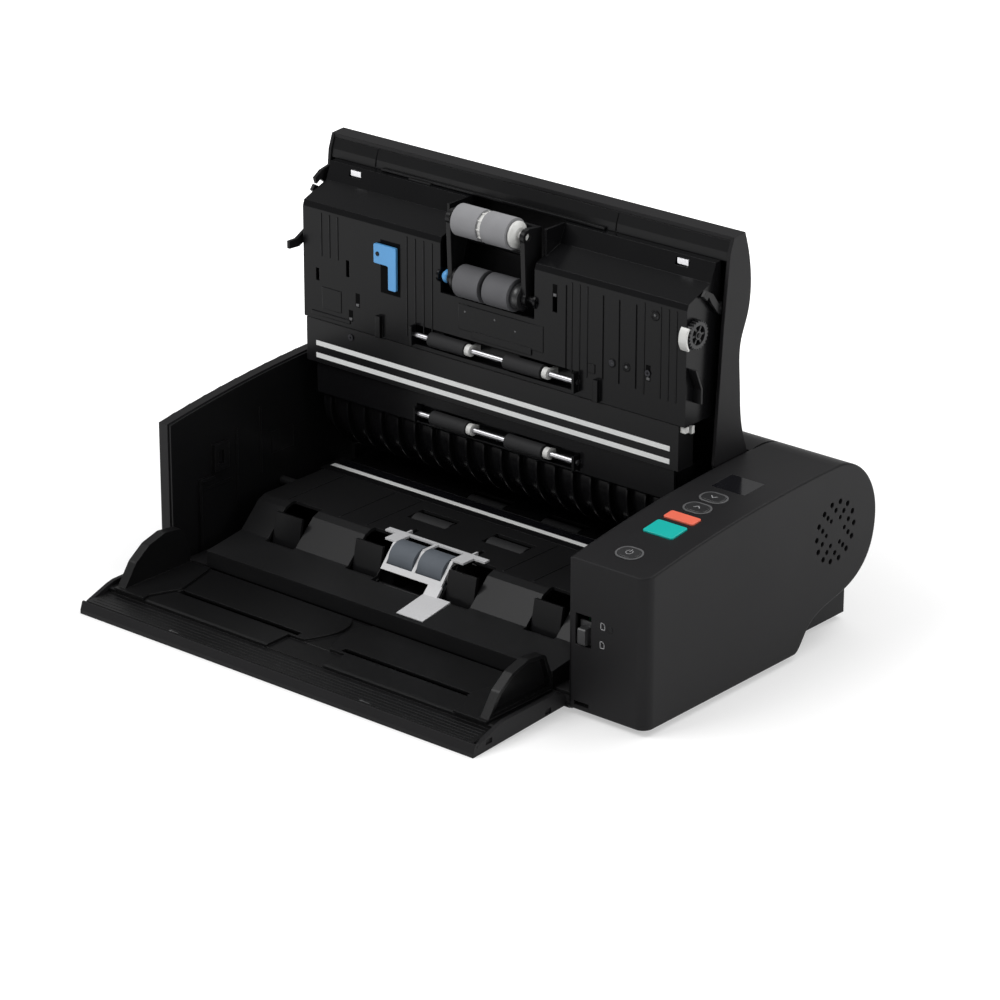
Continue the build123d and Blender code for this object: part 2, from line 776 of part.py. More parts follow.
rim_line = [(-90.4, -1.4), (-84.0, 3.4), (-66.0, 9.6), (-60.0, 11.0), (-9.0, 12.0), (-1.5, 9.0), (0.8, 6.0)]
guide_plate_thickness = 1.6
neck_half = 3.5
fin_line = [(-64.0, 9.7), (-53.0, 25.0), (-40.0, 34.0), (-25.0, 38.0), (-8.0, 36.0), (-1.0, 18.0)]
fin_line += [(-1.0, 9.7)]
left_fin_x = -183.5
fin_thickness = 2.4
fin_radius = 5.0
flange_x = -190.5
left_neck_x = -157.5
neck_depth = 2.2
rack_back = 3.4
rack_end = 12.0
guide_low = panel_top + 0.1
pinion_pin = 2.0
tray_back = 0.8
rear_floor = 0.25
slot_spans = [(-163.0, -46.0), (-7.4, 109.6)]


def tray_floor(y):
    """The tray's underside, which slopes down to the front."""
    return rear_floor + y * (tray_drop + rear_floor) / tray_length


def feed_tray():
    """The tray's shell with its side walls, hinge pins and the pinion's post."""
    corner, back = (-tray_length, tray_floor(-tray_length)), (tray_back, tray_floor(tray_back))
    skin_line = [corner, back, (back[0], back[1] + tray_skin), (corner[0], corner[1] + tray_skin)]
    tray = prism(skin_line, tray_left, tray_right)
    wall = [corner] + rim_line + [back]
    tray += prism(wall, tray_left, tray_left + 3.0)
    tray += prism(wall, tray_right - 3.0, tray_right)
    front = [corner, (-tray_length, -1.4), (-88.4, strip_top - 0.4)]
    front += [(-87.0, strip_top - 0.4), (-87.0, tray_floor(-87.0))]
    tray += prism(front, tray_left, tray_right)
    rear = [(-1.4, tray_floor(-1.4)), (-1.4, 5.6), (tray_back, 5.6), back]
    tray += prism(rear, tray_left, tray_right)
    tray += rod(tray_left - 2.6, tray_left + 0.1, (tray_y, tray_z), tray_pin_radius)
    tray += rod(tray_right - 0.1, tray_right + 4.4, (tray_y, tray_z), tray_pin_radius)
    for x in (tray_left, tray_right - 8.0):
        tray += rod(x, x + 8.0, (tray_y, tray_z), tray_pin_radius)
        tray += block(x, x + 8.0, -1.0, tray_y, tray_z - tray_pin_radius, tray_z + tray_pin_radius)
    floor = tray_floor(slot_y) + tray_skin
    post = Pos(paper_centre, slot_y, (floor - 0.5 + rack_low + rack_height) / 2)
    tray += post * Cylinder(pinion_pin, rack_low + rack_height - floor + 0.5)
    for y in (-75.0, -17.0):
        tray -= block(tray_right - 1.2, tray_right + 1, y - 3, y + 3, 0.5, 4.0)
    return tray


def tray_top_plate():
    """The plate under the sheets: a strip, a raised panel, a recess, a roller pocket and two slots."""
    low, high = tray_left + 3.1, tray_right - 3.1
    strip = [(-86.9, strip_top - 1.8), (-86.9, strip_top)]
    strip += [(strip_y, strip_top + 0.4), (strip_y, strip_top - 1.4)]
    panel = [(strip_y, strip_top - 1.4), (strip_y, panel_top - 0.6), (strip_y + 1.5, panel_top)]
    panel += [(0.7, panel_top), (0.7, panel_top - panel_thickness)]
    panel += [(strip_y + 2.0, panel_top - panel_thickness), (strip_y + 2.0, strip_top - 1.4)]
    plate = prism(strip, low, high) + prism(panel, low, high)
    curve = Spline((-7.5, strip_y - 1), (-15.4, -44.0), (-24.4, -12.0), (-15.6, 2.0))
    far = [(2 * paper_centre - p.X, p.Y) for p in (curve @ 1, curve @ 0.66, curve @ 0.33, curve @ 0)]
    other = Spline(*far)
    edges = [curve, Line(curve @ 1, other @ 0), other, Line(other @ 1, curve @ 0)]
    plate -= extrude(Plane.XY.offset(centre_top) * make_face(edges), amount=10)
    plate += block(-46.0, -7.0, strip_y + 1.9, -1.6, centre_top - 1.3, centre_top)
    left, right = paper_centre - pocket_width / 2, paper_centre + pocket_width / 2
    plate += block(left - 1.2, right + 1.2, strip_y + 1.9, pocket_rear + 1.2, pocket_floor - 1.1, centre_top)
    plate -= block(left, right, strip_y - 0.5, pocket_rear, pocket_floor, panel_top + 1)
    for x0, x1 in slot_spans:
        plate -= block(x0, x1, slot_y - slot_width / 2, slot_y + slot_width / 2, 0, 12)
    return plate


def tooth_profile(place, turn):
    """One straight-flanked tooth standing on the pitch line, with room for backlash."""
    m = tooth_module
    points = [(-0.62 * m, -0.9 * m), (-0.3 * m, 0.8 * m), (0.3 * m, 0.8 * m), (0.62 * m, -0.9 * m)]
    return Pos(*place) * Rot(0, 0, turn) * make_face(Polyline(*points, close=True))


def rack(x0, x1, side):
    """A toothed bar beside the pinion: side is 1 in front of it and -1 behind it."""
    pitch = pi * tooth_module
    line = slot_y - side * pitch_radius
    back = line - side * rack_back
    low, high = sorted((back, line - side * 0.85 * tooth_module))
    bar = Pos((x0 + x1) / 2, (low + high) / 2) * Rectangle(x1 - x0, high - low)
    count = int((x1 - x0) / pitch) - 1
    start = paper_centre + pitch / 2
    first = -int((start - x0 - 1.5) / pitch)
    for k in range(first, first + count):
        x = start + k * pitch
        if x0 + 1 < x < x1 - 1:
            bar += tooth_profile((x, line), 0 if side > 0 else 180)
    return Pos(0, 0, rack_low) * extrude(bar, amount=rack_height)


def fin():
    face = make_face(Polyline(*fin_line, close=True))
    corners = [v for v in face.vertices() if v.Y > 15]
    return fillet(corners, fin_radius)


def guide_body():
    """The left guide's base plate, upright fin and outer flange, above the tray plate."""
    plan = [(-191.0, -67.0), (-163.6, -67.0), (-164.7, -60.0), (-155.0, -39.0), (-163.0, -8.0)]
    face = make_face(Polyline(*plan, (-165.0, -1.0), (-191.0, -1.0), close=True))
    body = extrude(Plane.XY.offset(guide_low) * face, amount=guide_plate_thickness)
    body += across(fin(), left_fin_x - fin_thickness, left_fin_x)
    rim = fin() - offset(fin(), amount=-fin_thickness)
    return body + across(rim, flange_x, left_fin_x - fin_thickness + 0.1)


def paper_guide(body, neck_x, side):
    """A guide with its neck through the tray's slot and its rack: side is 1 in front of the pinion."""
    left, right = neck_x - neck_half, neck_x + neck_half
    rack_y = slot_y - side * pitch_radius
    neck = block(left, right, slot_y - neck_depth, slot_y + neck_depth, rack_low, guide_low + 0.5)
    reach = sorted((rack_y - side * rack_back, slot_y + side * neck_depth))
    foot = block(left, right, *reach, rack_low, rack_low + rack_height)
    ends = sorted((neck_x - side * neck_half, paper_centre + side * rack_end))
    return body + neck + foot + rack(*ends, side)


def left_paper_guide():
    return paper_guide(guide_body(), left_neck_x, 1)


def right_paper_guide():
    body = Pos(2 * paper_centre, 0, 0) * mirror(guide_body(), Plane.YZ)
    return paper_guide(body, 2 * paper_centre - left_neck_x, -1)


def guide_pinion():
    wheel = Circle(pitch_radius - 0.9 * tooth_module + 0.05)
    for k in range(pinion_teeth):
        turn = 360 / pinion_teeth * k
        place = (pitch_radius * sin(radians(turn)), pitch_radius * cos(radians(turn)))
        wheel += tooth_profile(place, -turn)
    wheel -= Circle(pinion_pin + fit)
    return Pos(paper_centre, slot_y, rack_low) * extrude(wheel, amount=rack_height - 0.1)


nodes["feed_tray"] = feed_tray()
nodes["tray_top_plate"] = tray_top_plate()
nodes["left_paper_guide"] = left_paper_guide()
nodes["right_paper_guide"] = right_paper_guide()
nodes["guide_pinion"] = guide_pinion()

# Cover shell, open: its outside in side view, from the front edge at the top down to the hinge

cover_line = [(177.5, 273.5), (180.0, 266.4), (185.0, 237.7), (181.8, 215.0), (176.0, 200.7)]
cover_line += [(175.4, 173.0), (179.7, 135.5), (185.0, 119.8), (188.0, 103.0), (190.5, 88.0)]
cover_line += [(189.0, 73.0), (183.5, 59.0), (175.5, 52.6)]
cover_lip = (165.8, 272.6)
trunnion_boss = trunnion_radius + 2
gear_centre = (135.0, 213.5)
gear_pin_radius = 1.5
latch_centre = (158.0, 226.0)
latch_radius = 1.6
panel_left = -193.0
panel_right = 141.0
panel_wall = 2.4
panel_y = 127.5
panel_back = 160.0
panel_line = [(162.3, 256.4), (157.0, 256.0), (151.5, 243.5), (129.0, 235.0)]
panel_line += [(panel_y, 231.0), (panel_y, 151.0)]
panel_grooves = (41.3, 72.5, 86.0, 100.0)
panel_slots = [(-152.0, 194.0, 3.0, 12.0), (-180.0, 184.0, 3.0, 9.0), (31.5, 212.0, 4.0, 14.0)]
panel_bars = (-122.7, 68.2)
roller_window = (-68.0, 14.0)
cheek_wall = 2.0
idler_opening = (-92.0, 52.0)
tab_centres = (-168.8, 115.3)
tab_width = 9.0
frame_low, frame_high = 119.0, 150.6
upper_strip_height = 3.4
strip_levels = (124.4, 133.4)
front_idler = opened(front_drive_y, drive_z + drive_radius + nip_gap + idler_radius)
rear_idler = opened(rear_drive_y, rear_drive_z + drive_radius + nip_gap + idler_radius)
idler_z = front_idler[1]
feed_centre = opened(retard_y, retard_z + retard_radius + feed_gap + feed_radius)
pickup_centre = (pickup_y, pickup_z)
drum_centre = opened(*drum_closed)
drum_span = (172.0, 266.0)
arm_inside = (-60.0, -56.4)
arm_outside = (4.4, 8.0)
lever_pin = (-122.5, 212.0)
lever_pin_radius = 1.5
screw_slot = 0.5


def inside_curve(curve, depth):
    """The same curve, moved by depth towards the inside of the cover."""
    points = []
    for k in range(25):
        tangent = curve % (k / 24)
        points.append(curve @ (k / 24) + Vector(tangent.Y, -tangent.X) * depth)
    return Spline(*[(p.X, p.Y) for p in points])


def cover_shell():
    """The cover's curved outer wall with its two cheeks, trunnions and left hooks."""
    outer = Spline(*cover_line)
    inner = inside_curve(outer, cover_skin)
    wall = make_face([outer, inner, Line(outer @ 0, inner @ 0), Line(outer @ 1, inner @ 1)])
    shell = across(wall, cover_left, cover_right)
    tip = outer @ 0
    edge = [(168.0, 56.0), (158.0, 92.0), (150.0, 120.0), (157.0, 215.0), (162.0, 262.0)]
    edge += [cover_lip, (tip.X, tip.Y)]
    cheek = make_face([outer, Line(outer @ 1, edge[0]), Polyline(*edge)])
    for x in (cover_left, cover_right - cover_skin):
        shell += across(cheek, x, x + cover_skin)
        shell += rod(x, x + cover_skin, (hinge_y, hinge_z), trunnion_boss)
    lip = [cover_line[0], cover_lip, (cover_lip[0], 269.8), (cover_line[0][0], 269.8)]
    shell += prism(lip, cover_left, cover_right)
    shell += rod(cover_left - 2.6, cover_left + 0.5, (hinge_y, hinge_z), trunnion_radius)
    shell += rod(cover_right - 0.5, cover_right + 2.6, (hinge_y, hinge_z), trunnion_radius)
    hook = [(166.0, 252.0), (152.0, 249.0), (145.5, 245.0), (147.0, 240.5), (151.0, 243.0), (157.5, 238.0)]
    hook += [(166.0, 238.0)]
    shell += prism(hook, cover_left, cover_left + cover_skin)
    low_hook = [(164.0, 210.0), (136.0, 211.0), (126.0, 206.0), (118.5, 206.0), (118.5, 200.5)]
    low_hook += [(128.0, 200.0), (138.0, 204.0), (151.0, 196.0), (164.0, 196.0)]
    return shell + prism(low_hook, cover_left, cover_left + cover_skin)


def cover_front_bezel():
    """The band along the cover's front edge, inside the shell's lip."""
    points = [(165.8, 269.6), (163.2, 262.4), (162.4, 256.5), (165.0, 256.5), (166.0, 262.0)]
    points += [(168.4, 269.6)]
    return prism(points, cover_left + cover_skin + 0.1, cover_right - cover_skin - 0.1)


def upper_guide_panel():
    """The black moulding behind the feed rollers, a pan with its open side to the shell."""
    outer = panel_line + [(panel_back, 151.0), (162.3, 200.0)]
    pan = prism(outer, panel_left, panel_right)
    hollow_y = panel_y + panel_wall
    inner = [(166.0, 253.5), (158.6, 253.4), (153.4, 241.6), (131.0, 233.0), (hollow_y, 229.0)]
    inner += [(hollow_y, 153.4), (166.0, 153.4)]
    pan -= prism(inner, panel_left + panel_wall, panel_right - panel_wall)
    x0, x1 = roller_window
    pan -= block(x0, x1, 110.0, 170.0, 196.0, 260.0)
    feed_y, feed_z = feed_centre
    for x in (x0 - cheek_wall, x1):
        cheek = prism([(137.0, 258.0), (137.0, 194.0), (156.0, 194.0), (162.0, 256.0)], x, x + cheek_wall)
        pan += cheek & block(x, x + cheek_wall, 100, 200, 190, 256.3)
        pan += rod(x, x + cheek_wall, feed_centre, 5.0)
        pan += block(x, x + cheek_wall, feed_y, 140.0, feed_z - 4, feed_z + 4)
    left, right = idler_opening
    pan -= block(left, right, 110.0, 160.0, idler_z - 7.0, idler_z + 7.0)
    for x in (left + 1.0, right - 1.0):
        bearing = block(x - 1.0, x + 1.0, 122.5, 136.0, idler_z - 6.9, idler_z + 6.9)
        pan += bearing - rod(x - 3, x + 3, front_idler, idler_shaft_radius + fit)
    left, right = left - 1.0, right + 1.0
    pan += block(left, right, 136.0, 138.0, idler_z - 9.0, idler_z + 9.0)
    pan += block(left, right, panel_y + 0.4, 137.0, idler_z + 7.0, idler_z + 8.6)
    pan += block(left, right, panel_y + 0.4, 137.0, idler_z - 8.6, idler_z - 7.0)
    pan -= rod(x0 - 3, x1 + 3, feed_centre, core_bore + fit)
    pan -= rod(panel_left - 1, panel_right + 1, latch_centre, latch_radius + fit)
    for x in panel_bars:
        pan += block(x - 2.0, x + 2.0, 124.6, panel_y + 0.5, 151.5, 167.0)
    for x in panel_grooves:
        pan -= block(x - 0.6, x + 0.6, panel_y - 1, panel_y + 0.8, 168.0, 226.0)
    for x, z, wide, tall in panel_slots:
        pan -= block(x - wide / 2, x + wide / 2, panel_y - 1, panel_y + 4, z - tall / 2, z + tall / 2)
    for x in tab_centres:
        pan -= block(x - tab_width / 2 - 1, x + tab_width / 2 + 1, 140.0, 165.0, 249.0, 254.0)
    pan += rod(panel_right - panel_wall, 145.6, gear_centre, gear_pin_radius)
    return pan + pin_at(lever_pin, lever_pin_radius, panel_y - 2.8, panel_y + 1)


def metal_tabs():
    """Two bent strips that show in windows near the cover's front edge."""
    solids = []
    for x in tab_centres:
        half = tab_width / 2
        tab = block(x - half, x + half, 155.4, 156.6, 249.6, 253.6)
        tab += block(x - half - 3, x + half + 3, 158.8, 159.6, 246.0, 253.3)
        solids.append(tab + block(x - half, x + half, 155.4, 159.6, 251.6, 252.8))
    return group(solids)


def upper_sensor_frame():
    """A tray-shaped moulding, open at the back, with two grooves for the white strips."""
    left, right = sensor_left - 7.0, sensor_right + 5.0
    low, high = frame_low + panel_wall, frame_high - panel_wall
    frame = block(left, right, panel_y, 143.0, frame_low, frame_high)
    frame -= block(left + panel_wall, right - panel_wall, panel_y + 3.0, 144.0, low, high)
    for z in strip_levels:
        frame -= block(sensor_left + 1.9, sensor_right - 1.9, panel_y - 1, panel_y + 1.2, z - 1.8, z + 1.8)
    return frame


def upper_white_strips():
    half = upper_strip_height / 2
    left, right = sensor_left + 2, sensor_right - 2
    return group([block(left, right, panel_y - 0.4, panel_y + 1.2, z - half, z + half) for z in strip_levels])


def u_turn_drum():
    """Ribbed drum that turns the sheet, with the bearing strip of the rear idlers above it."""
    start, end = drum_span
    left, right = guide_left - 4, guide_right + 4
    core_out, core_in = drum_radius - 4.5, drum_radius - 6.8
    arcs = [CenterArc(drum_centre, r, start, end - start) for r in (core_out, core_in)]
    ends = [Line(arcs[0] @ 0, arcs[1] @ 0), Line(arcs[0] @ 1, arcs[1] @ 1)]
    drum = across(make_face(arcs + ends), left, right)
    pitch = (guide_right - guide_left - 12) / (fin_count - 1)
    for k in range(fin_count):
        x = guide_left + 6 + k * pitch
        rib = [CenterArc(drum_centre, r, start, end - start) for r in (drum_radius, core_out - 0.3)]
        tips = [Line(rib[0] @ 0, rib[1] @ 0), Line(rib[0] @ 1, rib[1] @ 1)]
        drum += across(make_face(rib + tips), x - rib_half, x + rib_half)
    edge = arcs[0] @ 0
    top = frame_low - 0.2
    strip = [(130.0, top), (130.0, 96.0), (edge.X - 0.4, edge.Y - 0.6), (edge.X + 2.2, edge.Y - 0.2)]
    drum += prism(strip + [(132.4, 97.4), (132.4, top)], left, right)
    x0, x1 = idler_opening
    level = rear_idler[1]
    drum -= block(x0, x1, 110.0, 134.0, level - 6.4, level + 6.4)
    for x in (x0 + 2.0, x1 - 2.0):
        bearing = block(x - 1.0, x + 1.0, 124.6, 134.5, level - 5.0, level + 5.0)
        drum += bearing - rod(x - 3, x + 3, rear_idler, idler_shaft_radius + fit)
    drum += block(x0 - 1.0, x1 + 1.0, 134.4, 136.0, level - 8.0, level + 8.0)
    drum += block(x0 - 1.0, x1 + 1.0, 130.4, 135.0, level + 6.4, level + 8.0)
    web = [(132.4, 117.0), (160.0, 117.0), (176.0, 92.0), (165.0, 58.0), (142.0, 74.0), (137.5, 92.0)]
    for x in (left, right - panel_wall):
        drum += prism(web, x, x + panel_wall)
    return drum


def idler_shaft(centre):
    return rod(idler_opening[0] + 0.4, idler_opening[1] - 0.4, centre, idler_shaft_radius)


def idler_rollers(centre):
    half = tyre_length / 2
    return group([tube(x - half, x + half, centre, idler_radius, idler_shaft_radius) for x in tyre_centres()])


def roller_bushings():
    """White bushings on the idler shafts, each on a stem from the wall behind."""
    solids = []
    for (y, z), wall_y in ((front_idler, 136.0), (rear_idler, 134.4)):
        for x in (paper_centre - 15.0, paper_centre + 52.5):
            bush = tube(x - 2.0, x + 2.0, (y, z), 4.0, idler_shaft_radius + fit)
            solids.append(bush + block(x - 2.0, x + 2.0, y + 3.2, wall_y, z - 2.0, z + 2.0))
    return group(solids)


def roller_core(centre, x0, x1):
    """A spool inside the rings with a collar between them, on a shaft from x0 to x1."""
    start = ring_centres()[0] - ring_width / 2 - 1.0
    core = rod(start, 2 * paper_centre - start, centre, core_radius)
    core += rod(paper_centre - 1.2, paper_centre + 1.2, centre, core_radius + 1.6)
    return core + rod(x0, x1, centre, core_bore)


def feed_core():
    return roller_core(feed_centre, roller_window[0] - 1.8, roller_window[1] + 1.8)


def pickup_core():
    return roller_core(pickup_centre, arm_inside[1] - 2.0, arm_outside[0] + 2.0)


def pickup_arm():
    """Bracket that swings on the feed shaft and holds the pickup roller."""
    y, z = pickup_centre
    fy, fz = feed_centre
    side = [(fy - 4, fz), (y - 4, z), (y + 1, z + 5.5), (y + 14, z + 4), (y + 14, z - 18), (fy + 5, fz)]
    plate = make_face(Polyline(*side, close=True)) + Pos(fy, fz) * Circle(5.4) + Pos(y, z) * Circle(5.0)
    plate -= Pos(fy, fz) * Circle(core_bore + fit)
    plate -= Pos(y, z) * Circle(core_bore + fit)
    arm = across(plate, *arm_inside) + across(plate, *arm_outside)
    return arm + block(arm_inside[0], arm_outside[1], y + 12, y + 14, z - 16, z + 4)


def spoked_gear():
    x0, x1 = panel_right + 0.4, panel_right + 4.0
    wheel = tube(x0, x1, gear_centre, 9.0, 6.6) + tube(x0, x1, gear_centre, 3.0, gear_pin_radius + fit)
    for k in range(6):
        spoke = Pos(*gear_centre) * Rot(0, 0, 60 * k) * Pos(4.8, 0) * Rectangle(5.0, 1.4)
        wheel += across(spoke, x0 + 0.6, x1 - 0.6)
    for k in range(24):
        tooth = Pos(*gear_centre) * Rot(0, 0, 15 * k) * Pos(9.2, 0) * Rectangle(1.6, 1.1)
        wheel += across(tooth, x0, x1)
    return wheel


def pin_at(place, radius, y0, y1):
    """A round pin that runs front to back from y0 to y1."""
    circle = Plane.XZ.offset(-y1) * Pos(*place) * Circle(radius)
    return extrude(circle, amount=y1 - y0)


def blue_release_lever():
    """Blue lever beside the feed roller: a foot that turns on the panel and a flat finger."""
    y = panel_y - 2.4
    foot = block(-126.0, -106.0, y, y + 2.0, 205.0, 219.0)
    finger = block(-113.0, -106.0, y, y + 2.0, 188.0, 206.0)
    lever = fillet((foot + finger).edges().filter_by(Axis.Y), 1.2)
    return lever - pin_at(lever_pin, lever_pin_radius + fit, y - 1, y + 3)


def latch_hooks():
    """A hook at each side of the cover, on one shaft."""
    left, right = cover_left + cover_skin + 0.4, cover_right - cover_skin - 0.4
    latch = rod(left, right, latch_centre, latch_radius)
    y, z = latch_centre
    hook = [(y - 2, z + 3), (y - 9, z + 12), (y - 16, z + 16), (y - 19, z + 12.5), (y - 15.4, z + 9)]
    hook += [(y - 13.5, z + 11), (y - 10.5, z + 6), (y - 3, z - 3)]
    for x in (-196.9, 143.0):
        latch += prism(hook, x, x + 2.4) + rod(x, x + 2.4, latch_centre, 4.2)
    return latch


def screw(plane, radius, head):
    """A cross-slotted screw head that stands on a plane."""
    body = Cylinder(radius, head, align=(Align.CENTER, Align.CENTER, Align.MIN))
    slot = Box(radius * 1.3, screw_slot, 1.2) + Box(screw_slot, radius * 1.3, 1.2)
    return plane * (body - Pos(0, 0, head - screw_slot) * slot)


def cover_screws():
    places = [(110.1, 181.4), (80.2, 181.3), (-149.5, 144.7)]
    planes = [Plane(origin=(x, panel_y, z), z_dir=(0, -1, 0)) for x, z in places]
    return group([screw(plane, 2.2, 0.9) for plane in planes])


def base_screws():
    places = [(-150, 60), (150, 60), (-150, 200), (150, 200), (0, 130)]
    planes = [Plane(origin=(x, y, 0), z_dir=(0, 0, -1)) for x, y in places]
    return group([screw(plane, 3.0, 1.4) for plane in planes])


nodes["cover_shell"] = cover_shell()
nodes["cover_front_bezel"] = cover_front_bezel()
nodes["upper_guide_panel"] = upper_guide_panel()
nodes["metal_tabs"] = metal_tabs()
nodes["upper_sensor_frame"] = upper_sensor_frame()
nodes["upper_white_strips"] = upper_white_strips()
nodes["u_turn_drum"] = u_turn_drum()
nodes["front_idler_shaft"] = idler_shaft(front_idler)
nodes["rear_idler_shaft"] = idler_shaft(rear_idler)
nodes["front_idler_rollers"] = idler_rollers(front_idler)
nodes["rear_idler_rollers"] = idler_rollers(rear_idler)
nodes["roller_bushings"] = roller_bushings()
nodes["feed_core"] = feed_core()
nodes["feed_rings"] = rings(feed_centre, feed_radius)
nodes["pickup_arm"] = pickup_arm()
nodes["pickup_core"] = pickup_core()
nodes["pickup_rings"] = rings(pickup_centre, pickup_radius)
nodes["spoked_gear"] = spoked_gear()
nodes["blue_release_lever"] = blue_release_lever()
nodes["latch_hooks"] = latch_hooks()
nodes["cover_screws"] = cover_screws()
nodes["base_screws"] = base_screws()

boxes = [shape.bounding_box() for shape in nodes.values()]
origin_y = (min(b.min.Y for b in boxes) + max(b.max.Y for b in boxes)) / 2
os.makedirs("parts", exist_ok=True)
for name, shape in nodes.items():
    export_step(Pos(0, -origin_y, foot_height) * shape, f"parts/{name}.step")
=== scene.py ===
import math

import bmesh
import bpy
from mathutils import Euler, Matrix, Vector


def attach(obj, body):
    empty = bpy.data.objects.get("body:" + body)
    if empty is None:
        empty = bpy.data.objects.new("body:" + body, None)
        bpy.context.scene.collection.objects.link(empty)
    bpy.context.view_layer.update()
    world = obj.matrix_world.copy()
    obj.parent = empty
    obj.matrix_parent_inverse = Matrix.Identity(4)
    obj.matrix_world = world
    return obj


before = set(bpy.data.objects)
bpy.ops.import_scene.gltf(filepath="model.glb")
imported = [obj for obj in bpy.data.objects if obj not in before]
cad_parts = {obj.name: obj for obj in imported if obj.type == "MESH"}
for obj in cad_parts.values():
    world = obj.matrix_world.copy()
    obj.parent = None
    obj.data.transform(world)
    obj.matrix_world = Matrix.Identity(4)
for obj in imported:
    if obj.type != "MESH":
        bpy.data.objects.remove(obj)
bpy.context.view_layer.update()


# Room: a pale table top that the camera sees as white, three soft lamps and the camera.
# The camera stands to the front right of the open scanner and looks down at it.


class Shade:
    """One socket of a material; each operator used on it adds its Math node."""

    def __init__(self, tree, socket):
        self.tree = tree
        self.socket = socket

    def node(self, kind, settings=None, inputs=None, output=0):
        """Adds a node: its settings come first, then the values or links of its sockets."""
        made = self.tree.nodes.new(kind)
        for key, value in (settings or {}).items():
            setattr(made, key, value)
        for key, value in (inputs or {}).items():
            if isinstance(value, Shade):
                self.tree.links.new(value.socket, made.inputs[key])
            else:
                made.inputs[key].default_value = value
        return Shade(self.tree, made.outputs[output])

    def maths(self, operation, *values):
        return self.node("ShaderNodeMath", {"operation": operation}, dict(enumerate(values)))

    def __add__(self, other):
        return self.maths("ADD", self, other)

    def __mul__(self, other):
        return self.maths("MULTIPLY", self, other)

    __radd__ = __add__
    __rmul__ = __mul__

    def feeds(self, shader, socket):
        self.tree.links.new(self.socket, shader.inputs[socket])


def new_material(name):
    """A material with its main shader, and its object coordinates as a Shade."""
    made = bpy.data.materials.new(name)
    made.use_nodes = True
    tree = made.node_tree
    place = Shade(tree, tree.nodes.new("ShaderNodeTexCoord").outputs["Object"])
    return made, tree.nodes["Principled BSDF"], place


def seen_by(tree, *rays):
    """One for each kind of ray that is named, and zero for the rest."""
    path = tree.nodes.new("ShaderNodeLightPath")
    seen = Shade(tree, path.outputs[rays[0]])
    for ray in rays[1:]:
        seen = seen.maths("MAXIMUM", seen, Shade(tree, path.outputs[ray]))
    return seen


def noise(place, scale, detail=2.0):
    """Soft noise, with about as many blotches in a metre as its scale."""
    return place.node("ShaderNodeTexNoise", None, {"Vector": place, "Scale": scale, "Detail": detail}, "Fac")


table_half = 9.0
shadow_near, shadow_far = 0.2, 0.8
glow_near, glow_far = 0.42, 0.98
table, table_shader, table_place = new_material("pale_table")
table_tree = table.node_tree
table_shader.inputs["Base Color"].default_value = (0.78, 0.78, 0.78, 1.0)
(noise(table_place, scale=3.0) * 0.04 + 0.58).feeds(table_shader, "Roughness")
away = table_place.node("ShaderNodeVectorMath", {"operation": "LENGTH"}, {0: table_place}, "Value")
fade = {0: away, 1: shadow_near, 2: shadow_far, 3: glow_near, 4: glow_far}
glow_level = away.node("ShaderNodeMapRange", {"interpolation_type": "SMOOTHSTEP"}, fade)
glow = away.node("ShaderNodeEmission", None, {"Color": (1, 1, 1, 1), "Strength": glow_level})
soft = table_place.node("ShaderNodeBsdfDiffuse", None, {"Color": (0.62, 0.62, 0.62, 1)})
white = table_place.node("ShaderNodeAddShader", None, {0: glow, 1: soft})
plain = Shade(table_tree, table_shader.outputs["BSDF"])
table_seen = seen_by(table_tree, "Is Camera Ray", "Is Glossy Ray", "Is Transmission Ray")
table_look = table_place.node("ShaderNodeMixShader", None, {0: table_seen, 1: plain, 2: white})
table_look.feeds(table_tree.nodes["Material Output"], "Surface")

table_corners = [(-table_half, -table_half, 0), (table_half, -table_half, 0)]
table_corners += [(table_half, table_half, 0), (-table_half, table_half, 0)]
floor_mesh = bpy.data.meshes.new("table_top")
floor_mesh.from_pydata(table_corners, [], [(0, 1, 2, 3)])
floor_mesh.materials.append(table)
floor = bpy.data.objects.new("table_top", floor_mesh)
bpy.context.scene.collection.objects.link(floor)

room_light = 0.4
world = bpy.data.worlds.new("studio")
world.use_nodes = True
sky = world.node_tree.nodes["Background"]
sky.inputs["Color"].default_value = (1.0, 1.0, 1.0, 1.0)
sky_seen = seen_by(world.node_tree, "Is Camera Ray", "Is Transmission Ray")
(sky_seen * (1.0 - room_light) + room_light).feeds(sky, "Strength")
bpy.context.scene.world = world


def softbox(name, place, aim, size, power):
    """A rectangular lamp that looks at a point; sizes in metres, power in watts."""
    light = bpy.data.lights.new(name, "AREA")
    light.shape = "RECTANGLE"
    light.size, light.size_y = size
    light.energy = power
    item = bpy.data.objects.new(name, light)
    item.location = place
    item.rotation_euler = (Vector(aim) - Vector(place)).to_track_quat("-Z", "Y").to_euler()
    bpy.context.scene.collection.objects.link(item)


softbox("key_softbox", (-0.9, -1.3, 2.0), aim=(0.0, 0.0, 0.1), size=(1.6, 1.2), power=34.0)
softbox("top_softbox", (0.5, 1.1, 2.2), aim=(0.0, 0.0, 0.1), size=(2.0, 1.4), power=26.0)
softbox("side_softbox", (2.4, 0.1, 1.0), aim=(0.1, 0.0, 0.1), size=(1.2, 1.2), power=12.0)

camera = bpy.data.cameras.new("camera")
camera.sensor_width = 36.0
camera.lens = 154.06
camera_item = bpy.data.objects.new("camera", camera)
camera_item.location = (1.7137, -1.9998, 1.1575)
camera_item.rotation_euler = Euler((math.radians(67.81), math.radians(-0.11), math.radians(40.19)))
bpy.context.scene.collection.objects.link(camera_item)
bpy.context.scene.camera = camera_item
bpy.context.scene.view_settings.view_transform = "Standard"


# Housing: side covers, chassis, rear cover, cover shell and the shell of the tray.
# They are injection moulded in charcoal plastic, with a fine grain from the mould.


